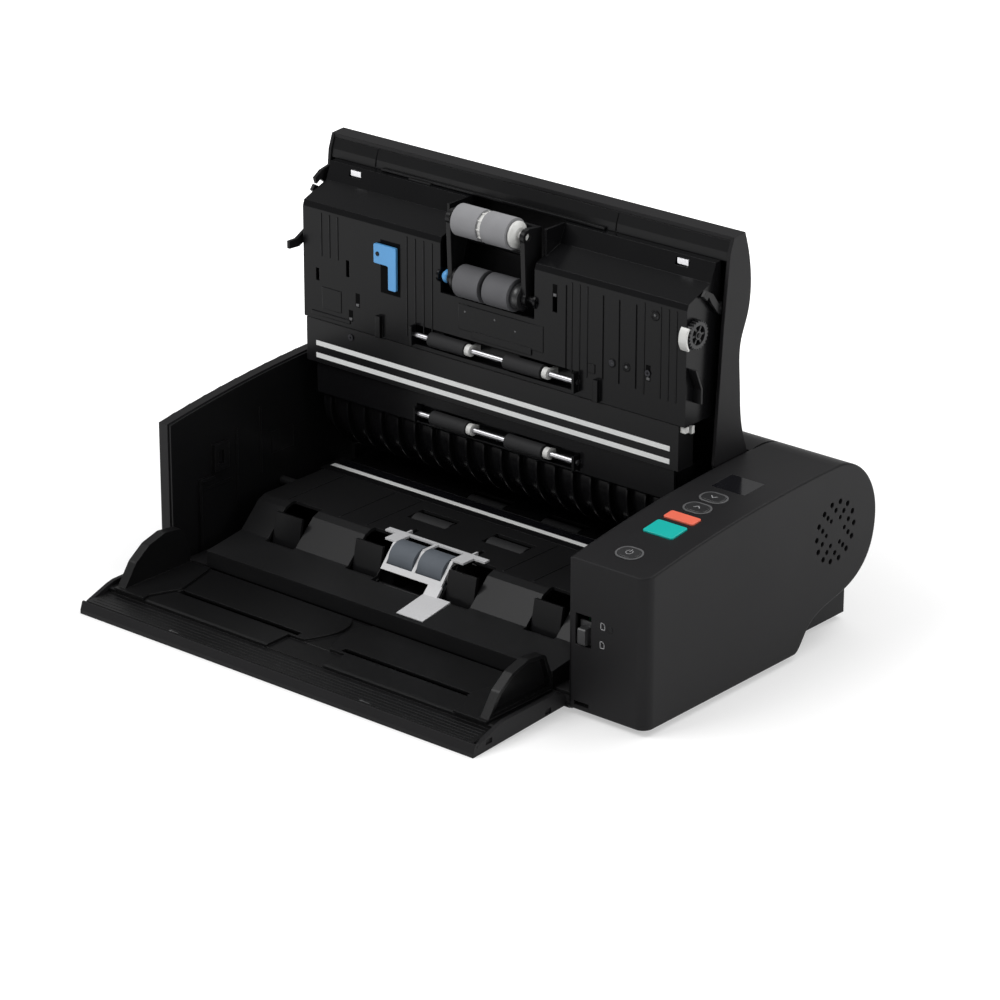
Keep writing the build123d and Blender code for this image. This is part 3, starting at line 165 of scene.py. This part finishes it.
def blend(place, factor, dark, light):
    """A colour that runs from dark to light with the factor."""
    return place.node("ShaderNodeMix", {"data_type": "RGBA"}, {0: factor, 6: dark, 7: light}, 2)


def shades(colour, low, high):
    """The colour made darker and lighter, as the two ends of a blend."""
    return tuple(c * low for c in colour) + (1.0,), tuple(min(1.0, c * high) for c in colour) + (1.0,)


def relief(place, height, depth, strength, edge):
    """A surface normal with rounded edges and fine relief; depth and edge are in metres."""
    soft_edge = place.node("ShaderNodeBevel", {"samples": 4}, {"Radius": edge}, "Normal")
    bump = {"Height": height, "Distance": depth, "Strength": strength, "Normal": soft_edge}
    return place.node("ShaderNodeBump", None, bump, "Normal")


def moulded(name, colour, roughness, grain=0.0007, depth=0.00003, edge=0.0005, shine=0.5):
    """Moulded plastic: soft edges, a fine grain and a faint mottle in colour and gloss."""
    made, shader, place = new_material(name)
    shader.inputs["Specular IOR Level"].default_value = shine
    mottle = noise(place, scale=22.0, detail=4.0)
    fine = noise(place, scale=1.0 / grain)
    dark, light = shades(colour, low=0.82, high=1.18)
    blend(place, 0.7 * mottle + 0.3 * fine, dark, light).feeds(shader, "Base Color")
    (roughness - 0.05 + 0.1 * mottle).feeds(shader, "Roughness")
    relief(place, fine, depth, strength=0.7, edge=edge).feeds(shader, "Normal")
    return made


def wear(material, *nodes):
    """Puts a finish on pieces of the CAD model."""
    for name in nodes:
        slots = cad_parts[name].data.materials
        slots.clear()
        slots.append(material)


charcoal = moulded(
    "charcoal_shell", (0.0115, 0.0112, 0.012), 0.48, grain=0.0009, depth=0.00006, edge=0.0008, shine=0.14
)
wear(charcoal, "left_side_cover", "right_side_cover", "rear_cover", "base_pan", "cover_shell", "feed_tray")


# Inner frames and small black mouldings inside the body and the cover.
# The same plastic from polished moulds, so they are darker, with a satin gloss.

satin = moulded("satin_black", (0.007, 0.007, 0.0075), 0.3, grain=0.0012, depth=0.00002, shine=0.16)
wear(satin, "left_inner_frame", "right_inner_frame", "fan_frame", "fan_rotor", "pickup_arm", "latch_hooks")
wear(satin, "cover_front_bezel", "upper_sensor_frame", "lower_sensor_frame", "stopper_flaps", "feed_core")


# Ribs, shelves and pockets on the two inner walls, beside the paper path.
# They are moulded in one with the walls, and stay clear of the cover when it closes.

mm = 0.001
front_to_middle = 77.3
foot_height = 4.3


def at(x, y, z):
    """A place in millimetres from the block's front, moved to the part's own metres."""
    return Vector((x * mm, (y - front_to_middle) * mm, (z + foot_height) * mm))


def solid(name, body, material, vertices, faces, bevel=0.0):
    """A closed mesh from its corners and faces, with rounded edges, that rides on a body."""
    shape = bmesh.new()
    corners = [shape.verts.new(v) for v in vertices]
    for face in faces:
        shape.faces.new([corners[k] for k in face])
    bmesh.ops.recalc_face_normals(shape, faces=shape.faces)
    if bevel:
        rounding = {"segments": 2, "affect": "EDGES", "profile": 0.5, "clamp_overlap": True}
        bmesh.ops.bevel(shape, geom=shape.edges[:], offset=bevel * mm, **rounding)
    mesh = bpy.data.meshes.new(name)
    shape.to_mesh(mesh)
    shape.free()
    mesh.materials.append(material)
    item = bpy.data.objects.new(name, mesh)
    bpy.context.scene.collection.objects.link(item)
    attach(item, body)
    return item


def between_outlines(name, body, material, front, back, bevel):
    """A solid between two outlines of the same number of points."""
    n = len(front)
    faces = [tuple(range(n)), tuple(reversed(range(n, 2 * n)))]
    faces += [(k, (k + 1) % n, n + (k + 1) % n, n + k) for k in range(n)]
    return solid(name, body, material, front + back, faces, bevel)


def slab(name, body, material, slot, low, high, bevel=0.3):
    """A rounded slab between two corners."""
    (x0, y0, z0), (x1, y1, z1) = low, high
    front = [at(x0, y0, z0), at(x1, y0, z0), at(x1, y0, z1), at(x0, y0, z1)]
    back = [at(x0, y1, z0), at(x1, y1, z0), at(x1, y1, z1), at(x0, y1, z1)]
    return between_outlines(name, body, material, front, back, bevel)


left_face = (-201.3, -200.35)
right_face = (149.0, 149.9)
wall_forms = (
    ("left_wall_shelf", left_face, (26.5, 47.0), (60.0, 49.0)),
    ("left_wall_rib", left_face, (64.0, 6.0), (66.0, 84.0)),
    ("left_wall_rib_rear", left_face, (88.0, 42.0), (90.0, 92.0)),
    ("left_wall_pocket", left_face, (100.0, 54.0), (122.0, 70.0)),
    ("right_wall_shelf", right_face, (30.0, 47.0), (92.0, 49.0)),
    ("right_wall_rib", right_face, (64.0, 42.0), (66.0, 84.0)),
)
for name, (x0, x1), low, high in wall_forms:
    slab(name, "base", satin, "black_inner", (x0, *low), (x1, *high), bevel=0.2)


# Sheets below the tray's hinge gap and behind the lever's lower slot, in charcoal plastic.
# They are painted shade: dark sheets that close the view through these gaps, where there is only shade.

# Dark sheets standing for the shade in the gaps, so that the white table does not show through.
gap_shade_sheets = (
    ("hinge_gap_shade_sheet", (-199.5, 1.2, -1.3), (149.8, 15.0, 0.1)),
    ("lower_slot_shade_sheet", (152.2, 4.2, 0.5), (168.0, 5.4, 8.6)),
)
for name, low, high in gap_shade_sheets:
    slab(name, "base", charcoal, "black_shell", low, high, bevel=0.2)


# Lower guide plate, over which the sheets run: a black moulding with six raised ribs.
# The ribs are moulded in it and stand a little proud, so that the sheets don't stick.


def side_solid(name, body, material, slot, points, x0, x1, bevel):
    """A solid drawn in side view, as y and z, that runs from x0 to x1."""
    left = [at(x0, y, z) for y, z in points]
    right = [at(x1, y, z) for y, z in points]
    return between_outlines(name, body, material, left, right, bevel)


path_black = moulded(
    "path_black", (0.012, 0.012, 0.0125), 0.3, grain=0.0015, depth=0.00002, edge=0.0005, shine=0.12
)
wear(path_black, "lower_guide_plate")
rib_half = 0.5
rib_line = [(72.0, 38.3), (72.6, 38.95), (129.0, 38.95), (130.0, 38.3)]
for k, x in enumerate((-160.0, -112.0, -88.0, 34.0, 60.0, 106.0)):
    span = (x - rib_half, x + rib_half)
    side_solid(f"guide_rib_{k}", "base", path_black, "black_guide", rib_line, *span, bevel=0.15)


# Image sensors: a dark glass and a white reference strip below the sheets, strips above.
# The strips are matt white film, and the block's display window has the look of the glass.

white_film = moulded("white_film", (0.84, 0.85, 0.84), 0.45, grain=0.0015, depth=0.00001, edge=0.0002)
wear(white_film, "lower_white_strip", "upper_white_strips")

window_glass, glass_shader, glass_place = new_material("window_glass")
smear = noise(glass_place, scale=60.0)
glass_dark, glass_light = (0.004, 0.004, 0.005, 1.0), (0.007, 0.007, 0.009, 1.0)
blend(glass_place, smear, glass_dark, glass_light).feeds(glass_shader, "Base Color")
(0.08 + 0.06 * smear).feeds(glass_shader, "Roughness")
wear(window_glass, "lower_sensor_glass", "display_window")


# Tyres of the drive rollers and idlers, the drive belt and the feet, all of black rubber.
# The tyres are ground, which leaves fine rings round them.


def rubber(name, colour, ring_scale):
    """Ground rubber: fine rings round the x axis, a fine grain and a little dust."""
    made, shader, place = new_material(name)
    shader.inputs["Specular IOR Level"].default_value = 0.3
    speck = noise(place, scale=1600.0, detail=3.0)
    dust = noise(place, scale=90.0)
    wave = {"Vector": place, "Scale": ring_scale, "Distortion": 0.4}
    line = place.node("ShaderNodeTexWave", {"bands_direction": "X"}, wave, "Fac")
    dark, light = shades(colour, low=0.78, high=1.15)
    blend(place, 0.5 * dust + 0.25 * speck + 0.25 * line, dark, light).feeds(shader, "Base Color")
    (0.62 + 0.15 * speck).feeds(shader, "Roughness")
    ground = 0.5 * speck + 0.5 * line
    relief(place, ground, depth=0.00008, strength=0.6, edge=0.0006).feeds(shader, "Normal")
    return made


tyre_black = rubber("tyre_black", (0.017, 0.017, 0.018), 260.0)
wear(tyre_black, "front_drive_roller", "rear_drive_roller", "front_idler_rollers", "rear_idler_rollers")
wear(rubber("belt_black", (0.02, 0.02, 0.02), 500.0), "drive_belt")
wear(rubber("foot_black", (0.03, 0.03, 0.03), 200.0), "rubber_feet")


# Metal pieces: the idler shafts, the screws, the cover's two tabs and the feed motor's can.
# The shafts are drawn steel, the tabs bent bright sheet, and the cover's screws blackened.


def metal(name, colour, roughness, stretch):
    """Bare metal with fine drawing lines, stretched along one axis, and a little tarnish."""
    made, shader, place = new_material(name)
    shader.inputs["Metallic"].default_value = 1.0
    drawn = place.node("ShaderNodeMapping", None, {"Vector": place, "Scale": stretch})
    line = noise(drawn, scale=900.0)
    tarnish = noise(place, scale=60.0)
    dark, light = shades(colour, low=0.8, high=1.0)
    blend(place, tarnish, dark, light).feeds(shader, "Base Color")
    (roughness + 0.15 * line + 0.05 * tarnish).feeds(shader, "Roughness")
    relief(place, line, depth=0.00001, strength=0.5, edge=0.0002).feeds(shader, "Normal")
    return made


shaft_steel = metal("shaft_steel", (0.62, 0.62, 0.64), 0.22, (0.05, 1.0, 1.0))
wear(shaft_steel, "front_idler_shaft", "rear_idler_shaft", "base_screws")
wear(metal("bright_tab", (0.86, 0.86, 0.88), 0.3, (1.0, 0.1, 1.0)), "metal_tabs")
wear(metal("motor_can", (0.5, 0.5, 0.52), 0.3, (0.1, 1.0, 1.0)), "feed_motor")
wear(metal("black_screw", (0.05, 0.05, 0.055), 0.35, (1.0, 1.0, 1.0)), "cover_screws")


# Retard roller and its off-white holder, in the middle of the lower guide.
# The rings are grey urethane. The spool is natural nylon, like the roller bushings, the
# pickup roller's spool, the guides' pinion and the motor's pulley.

holder_white = moulded("holder_white", (0.62, 0.62, 0.63), 0.42, grain=0.0012, depth=0.00002, edge=0.0004)
core_white = moulded("core_white", (0.68, 0.68, 0.66), 0.35, edge=0.0004)
wear(holder_white, "retard_cover")
wear(core_white, "retard_core", "roller_bushings", "pickup_core", "guide_pinion", "motor_pulley")
wear(rubber("ring_blue_grey", (0.115, 0.13, 0.15), 420.0), "retard_rings")


# Circuit board inside the control block, and the two sockets at the back.
# The board is green laminate, and the sockets are moulded in grey nylon.

wear(moulded("board_green", (0.012, 0.12, 0.05), 0.35, grain=0.002, depth=0.00002), "main_board")
wear(moulded("port_grey", (0.05, 0.05, 0.052), 0.45), "rear_ports")


# Push buttons of the control block, with a grey rim round the black ones.
# The caps are moulded in teal, coral and black, and their marks are printed in grey.

cap_black = moulded("black_cap", (0.02, 0.02, 0.021), 0.34, grain=0.0008)
rim_grey = moulded("grey_rim", (0.09, 0.09, 0.093), 0.4)
print_grey = moulded("printed_grey", (0.36, 0.36, 0.37), 0.5, depth=0.0)
wear(moulded("teal_cap", (0.0, 0.42, 0.375), 0.4, grain=0.0008), "start_button")
wear(moulded("coral_cap", (0.78, 0.145, 0.085), 0.4, grain=0.0008), "stop_button")
wear(cap_black, "power_button", "select_button_front", "select_button_rear")
wear(rim_grey, "button_bezels")

top_end_y, top_end_z, top_drop = 199.0, 121.0, 16.5
top_radius = (top_end_y**2 + top_drop**2) / (2 * top_drop)
cap_rise = 1.0


def on_cap(x, y, rise):
    """A place above a button on the block's arched top."""
    reach = top_end_y - y
    height = top_end_z - (top_radius - math.sqrt(top_radius**2 - reach**2))
    rise = rise + cap_rise
    return at(x, y - rise * reach / top_radius, height + rise)


def printed(name, body, strokes, surface, wide, material=print_grey):
    """Fine printed lines on a surface: strokes of points, each leg a thin ribbon."""
    over, under = 0.12, -0.1
    vertices, faces = [], []
    for stroke in strokes:
        for (ax, ay), (bx, by) in zip(stroke, stroke[1:]):
            length = math.hypot(bx - ax, by - ay)
            ex, ey = (bx - ax) / length * wide / 2, (by - ay) / length * wide / 2
            ring = [(ax - ex - ey, ay - ey + ex), (bx + ex - ey, by + ey + ex)]
            ring += [(bx + ex + ey, by + ey - ex), (ax - ex + ey, ay - ey - ex)]
            start = len(vertices)
            vertices += [surface(x, y, over) for x, y in ring] + [surface(x, y, under) for x, y in ring]
            top, low = range(start, start + 4), range(start + 4, start + 8)
            faces += [tuple(top), tuple(reversed(low))]
            faces += [(top[k], low[k], low[(k + 1) % 4], top[(k + 1) % 4]) for k in range(4)]
    return solid(name, body, material, vertices, faces)


def arc(x, y, radius, start, end, steps=14):
    """Points round a centre, from one angle in degrees to another."""
    turns = [math.radians(start + (end - start) * k / steps) for k in range(steps + 1)]
    return [(x + radius * math.cos(a), y + radius * math.sin(a)) for a in turns]


power_strokes = [arc(180.6, 21.4, 2.3, 125, 415), [(180.6, 21.8), (180.6, 24.6)]]
printed("power_mark", "power_button", power_strokes, on_cap, wide=0.45)
front_chevron = [[(177.6, 91.0), (179.8, 93.2), (182.0, 91.0)]]
printed("select_mark_front", "select_button_front", front_chevron, on_cap, wide=0.6)
rear_chevron = [[(177.2, 110.2), (179.4, 108.0), (181.6, 110.2)]]
printed("select_mark_rear", "select_button_rear", rear_chevron, on_cap, wide=0.6)


# Feed lever on the front of the block, with two printed sheet signs and a black dot.
# The lever is a small moulded slide that sets the feed for one sheet or for a stack.


def turned(name, body, material, slot, centre, axis, profile, steps=40):
    """A turned piece: the profile is (distance along the axis, radius)."""
    lead = Vector(axis).normalized()
    across = lead.orthogonal().normalized()
    other = lead.cross(across)
    origin = at(*centre)
    turns = [2 * math.pi * k / steps for k in range(steps)]
    vertices = []
    for along, radius in profile:
        middle = origin + lead * (along * mm)
        vertices += [middle + (across * math.cos(a) + other * math.sin(a)) * (radius * mm) for a in turns]
    faces = []
    for start in range(0, len(vertices) - steps, steps):
        for k in range(steps):
            a, b = start + k, start + (k + 1) % steps
            faces.append((a, b, b + steps, a + steps))
    faces += [tuple(reversed(range(steps))), tuple(range(len(vertices) - steps, len(vertices)))]
    item = solid(name, body, material, vertices, faces)
    for polygon in item.data.polygons:
        polygon.use_smooth = len(polygon.vertices) == 4
    return item


def on_front(x, z, rise):
    return at(x, -rise, z)


wear(moulded("lever_black", (0.03, 0.03, 0.031), 0.4), "feed_select_lever")
sheet_line = [(-1.6, -2.2), (1.6, -2.2), (1.6, 1.0), (0.4, 2.2), (-1.6, 2.2), (-1.6, -2.2)]
for name, (sign_x, sign_z) in (("single_sheet_mark", (177.0, 63.8)), ("sheet_stack_mark", (176.6, 50.9))):
    printed(name, "base", [[(sign_x + x, sign_z + z) for x, z in sheet_line]], on_front, wide=0.5)
towards_front = (0, -1, 0)
dot_profile = [(-0.2, 2.2), (0.25, 2.2), (0.3, 1.9)]
turned("card_mark", "base", satin, "black_inner", (182.9, 0.0, 63.0), towards_front, dot_profile)


# Feed tray: the plate under the sheets, its two sliding guides, and marks on the strip.
# The plate is smoother than the shell, and fine ribs run across its front strip.

tray_black = moulded(
    "tray_black", (0.005, 0.005, 0.0053), 0.34, grain=0.0012, depth=0.00004, edge=0.0006, shine=0.22
)
wear(tray_black, "tray_top_plate", "left_paper_guide", "right_paper_guide")
strip_front, strip_depth = -86.9, 20.9
strip_low, strip_climb = 4.6, 0.4
strip_left, strip_right = -194.0, 140.0
fine_rib_half, fine_rib_sunk, fine_rib_proud = 0.35, 0.3, 0.22


def strip_z(y):
    """Height of the tray's front strip, which climbs gently to the back."""
    return strip_low + strip_climb * (y - strip_front) / strip_depth


def on_strip(x, y, rise):
    return at(x, y, strip_z(y) + rise)


for k, y in enumerate((-84.0, -80.5, -77.0, -73.5, -70.0)):
    low = (strip_left, y - fine_rib_half, strip_z(y) - fine_rib_sunk)
    high = (strip_right, y + fine_rib_half, strip_z(y) + fine_rib_proud)
    slab(f"tray_rib_{k}", "tray", tray_black, "black_guide", low, high, bevel=0.15)
for k, (x, y) in enumerate(((-117.3, -86.0), (52.0, -86.0))):
    arrow = [[(x - 4, y), (x + 4, y)], [(x - 2, y + 1.2), (x - 4, y), (x - 2, y - 0.6)]]
    printed(f"tray_mark_{k}", "tray", arrow, on_strip, wide=0.5, material=rim_grey)


# Inner panel and turn drum of the cover, and the turn guide behind: smooth black mouldings.
# The panel has slots with grey tongues, screw bosses, ribs, pads and an apron below the rollers,
# which are all moulded in; the slots and the lever's recess are darkened with painted shade.

guide_black = moulded(
    "guide_black", (0.0045, 0.0045, 0.005), 0.24, grain=0.0015, depth=0.00002, edge=0.0005, shine=0.13
)
wear(guide_black, "upper_guide_panel", "u_turn_drum", "rear_paper_guide")
# Near-black matt finish: painted shade in the slots and the lever's recess, and the dark seams of the band.
shade_and_seam_black = moulded("shade_and_seam_black", (0.0016, 0.0016, 0.0017), 0.7, depth=0.00001, shine=0.05)
panel_y = 127.5
panel_sunk = 0.6


def panel_slab(name, x0, x1, z0, z1, proud, bevel=0.4, finish=(guide_black, "black_guide")):
    """A low form on the panel's face, which stands proud of it."""
    material, slot = finish
    low, high = (x0, panel_y - proud, z0), (x1, panel_y + panel_sunk, z1)
    return slab(name, "cover", material, slot, low, high, bevel)


shade_and_seam_finish = (shade_and_seam_black, "black_inner")
grey_tongue = (rim_grey, "grey_plastic")
# The lever's recess gets a near-black floor of painted shade.
panel_slab("lever_recess_painted_shade", -121.8, -104.0, 184.0, 222.0, proud=0.12, bevel=0.1, finish=shade_and_seam_finish)
slot_places = ((31.5, 219.9, 9.0), (110.1, 181.4, 11.0), (-143.1, 173.0, 10.0), (-149.5, 160.5, 8.0))
slot_half = 1.9
tongue_left, tongue_right = 1.2, 1.4
tongue_foot, tongue_head = 0.6, 2.6
# Each slot is a near-black slab of painted shade, with a grey tongue at its foot.
for k, (x, z, tall) in enumerate(slot_places):
    foot, head = z - tall / 2, z + tall / 2
    shadow = (x - slot_half, x + slot_half, foot, head)
    tongue = (x - tongue_left, x + tongue_right, foot + tongue_foot, foot + tongue_head)
    panel_slab(f"panel_slot_shadow_{k}", *shadow, proud=0.1, bevel=0.05, finish=shade_and_seam_finish)
    panel_slab(f"panel_tongue_{k}", *tongue, proud=0.5, bevel=0.3, finish=grey_tongue)

boss_places = ((-2.1, 183.6, 6.0), (115.2, 222.3, 3.2), (80.2, 181.3, 2.6))
boss_places += ((92.2, 181.2, 2.6), (-20.0, 187.5, 2.2), (-46.0, 187.5, 2.2))
pin_profile = [(-0.3, 0.9), (0.45, 0.9), (0.55, 0.5)]
for k, (x, z, wide) in enumerate(boss_places):
    place = (x, panel_y, z)
    rim = [(-0.4, wide + 0.6), (0.3, wide + 0.5), (0.5, wide), (0.45, wide - 0.7), (0.15, wide - 0.9)]
    turned(f"panel_boss_{k}", "cover", guide_black, "black_guide", place, towards_front, rim)
    turned(f"panel_boss_pin_{k}", "cover", *grey_tongue, place, towards_front, pin_profile, steps=20)

panel_slab("roller_apron", -52.0, 22.0, 174.0, 192.5, proud=0.5)
panel_slab("roller_apron_step", -40.0, 12.0, 170.0, 175.5, proud=0.9)
panel_slab("left_panel_pad", -176.0, -158.0, 160.0, 176.0, proud=0.45)
panel_slab("left_panel_pad_low", -186.0, -150.0, 154.0, 157.0, proud=0.7)
panel_slab("right_panel_band", 60.0, 66.0, 170.0, 176.5, proud=0.7)
rib_head = 229.0
right_ribs = [(x, 166.0) for x in (46.0, 52.5, 59.0, 106.5, 120.0, 126.5, 133.0)]
left_ribs = [(x, 198.0) for x in (-176.0, -168.5, -161.0)]
left_ribs += [(x, 158.0) for x in (-98.0, -90.5, -83.0, -75.5)]
for side, ribs in (("right", right_ribs), ("left", left_ribs)):
    for k, (x, rib_foot) in enumerate(ribs):
        rib = (x - rib_half, x + rib_half, rib_foot, rib_head)
        panel_slab(f"{side}_panel_rib_{k}", *rib, proud=0.45, bevel=0.2)


# Front band of the cover, which is pressed on in three lengths, so that it has two seams.
# A thin plastic ledge and a tab below it hide the upper edge of the inner panel.

seam_line = [(165.65, 269.2), (163.05, 262.4), (162.25, 257.5), (164.5, 257.5), (167.4, 269.2)]
seam_half = 0.45
for k, x in enumerate((-157.0, 54.0)):
    span = (x - seam_half, x + seam_half)
    side_solid(f"band_seam_{k}", "cover", *shade_and_seam_finish, seam_line, *span, bevel=0.05)
ledge = ((-150.0, 160.2, 256.6), (46.0, 163.0, 258.4))
tab = ((-124.0, 158.6, 254.4), (-104.0, 162.6, 257.2))
slab("band_ledge", "cover", satin, "black_inner", *ledge, bevel=0.4)
slab("band_tab", "cover", charcoal, "black_shell", *tab, bevel=0.4)


# Feed roller: rings of mid-grey rubber on a black spool, with a hub at each end.
# The knob at its left end and the release lever further left are moulded in blue plastic.

towards_right, towards_left = (1, 0, 0), (-1, 0, 0)
feed_y, feed_z = 130.0, 208.0
lever_blue = moulded("lever_blue", (0.1, 0.36, 0.72), 0.38)
wear(rubber("ring_mid", (0.115, 0.115, 0.122), 420.0), "feed_rings")
wear(lever_blue, "blue_release_lever")
knob = [(0, 3.2), (0.8, 4.6), (3.4, 4.6), (5.4, 3.0), (6.0, 1.6)]
left_hub = [(0, 6.4), (0.6, 8.2), (3.6, 8.2), (4.2, 7.4)]
right_hub = [(0, 8.6), (0.8, 9.2), (5.2, 9.2), (6.0, 8.4)]
feed_ends = (
    ("feed_roller_knob", lever_blue, "blue_plastic", -61.0, towards_left, knob),
    ("feed_roller_hub_left", satin, "black_inner", -56.0, towards_right, left_hub),
    ("feed_roller_hub_right", cap_black, "black_inner", -2.0, towards_right, right_hub),
)
for name, material, slot, x, axis, profile in feed_ends:
    turned(name, "feed_roller", material, slot, (x, feed_y, feed_z), axis, profile)


# Pickup roller: rings of light-grey rubber on a natural nylon spool.
# A ribbed nylon collar sits between the rings, and a nylon ring closes the right end.

pick_y, pick_z = 128.0, 251.5
collar_left, collar_rib_left, end_ring_left = -30.4, -29.6, -2.9
nylon = (core_white, "white_plastic")
wear(rubber("ring_light", (0.26, 0.26, 0.27), 420.0), "pickup_rings")
collar = [(0, 8.2), (0.5, 9.6), (6.9, 9.6), (7.4, 8.2)]
end_ring = [(0, 8.6), (0.5, 9.2), (2.3, 9.2), (2.8, 6.0), (4.0, 5.4)]
collar_rib = [(0, 0.3), (0.4, 0.7), (5.4, 0.7), (5.8, 0.3)]
sleeves = (("pickup_collar", collar_left, collar), ("pickup_end_ring", end_ring_left, end_ring))
for name, x, profile in sleeves:
    turned(name, "pickup_roller", *nylon, (x, pick_y, pick_z), towards_right, profile)
rib_count, rib_circle = 10, 9.7
for k in range(rib_count):
    turn = 2 * math.pi * k / rib_count
    rib_y, rib_z = pick_y + rib_circle * math.cos(turn), pick_z + rib_circle * math.sin(turn)
    place = (collar_rib_left, rib_y, rib_z)
    turned(f"collar_rib_{k}", "pickup_roller", *nylon, place, towards_right, collar_rib, steps=10)


# Right end of the cover: the gear, a crescent along its front edge, a bracket and two blocks.
# The crescent, with its foot, and the blocks are natural nylon, the others black plastic.

wear(moulded("gear_black", (0.02, 0.02, 0.021), 0.4, shine=0.35), "spoked_gear")
crescent_y, crescent_z = 133.0, 213.5
crescent_left, crescent_right = 139.6, 145.9
inner_radius, outer_radius = 10.9, 12.4
sweep = {"start": 140, "end": 220, "steps": 10}
crescent = arc(crescent_y, crescent_z, outer_radius, **sweep)
crescent += reversed(arc(crescent_y, crescent_z, inner_radius, **sweep))
side_solid("gear_crescent", "cover", *nylon, crescent, crescent_left, crescent_right, bevel=0.0)
slab("crescent_foot", "cover", *nylon, (139.4, 121.2, 211.5), (141.0, 128.2, 215.5), bevel=0.2)
slab("white_block_rear", "cover", *nylon, (136.0, 136.6, 143.6), (139.8, 139.6, 149.0))
slab("white_block_front", "cover", *nylon, (136.0, 129.0, 146.0), (140.4, 133.0, 150.2))
bracket = [(129.5, 191.2), (131.0, 191.2), (137.6, 176.8), (137.6, 166.0), (136.0, 166.0), (136.0, 176.4)]
bracket_left, bracket_right = 140.8, 147.2
side_solid("right_bracket", "cover", satin, "black_inner", bracket, bracket_left, bracket_right, bevel=0.3)
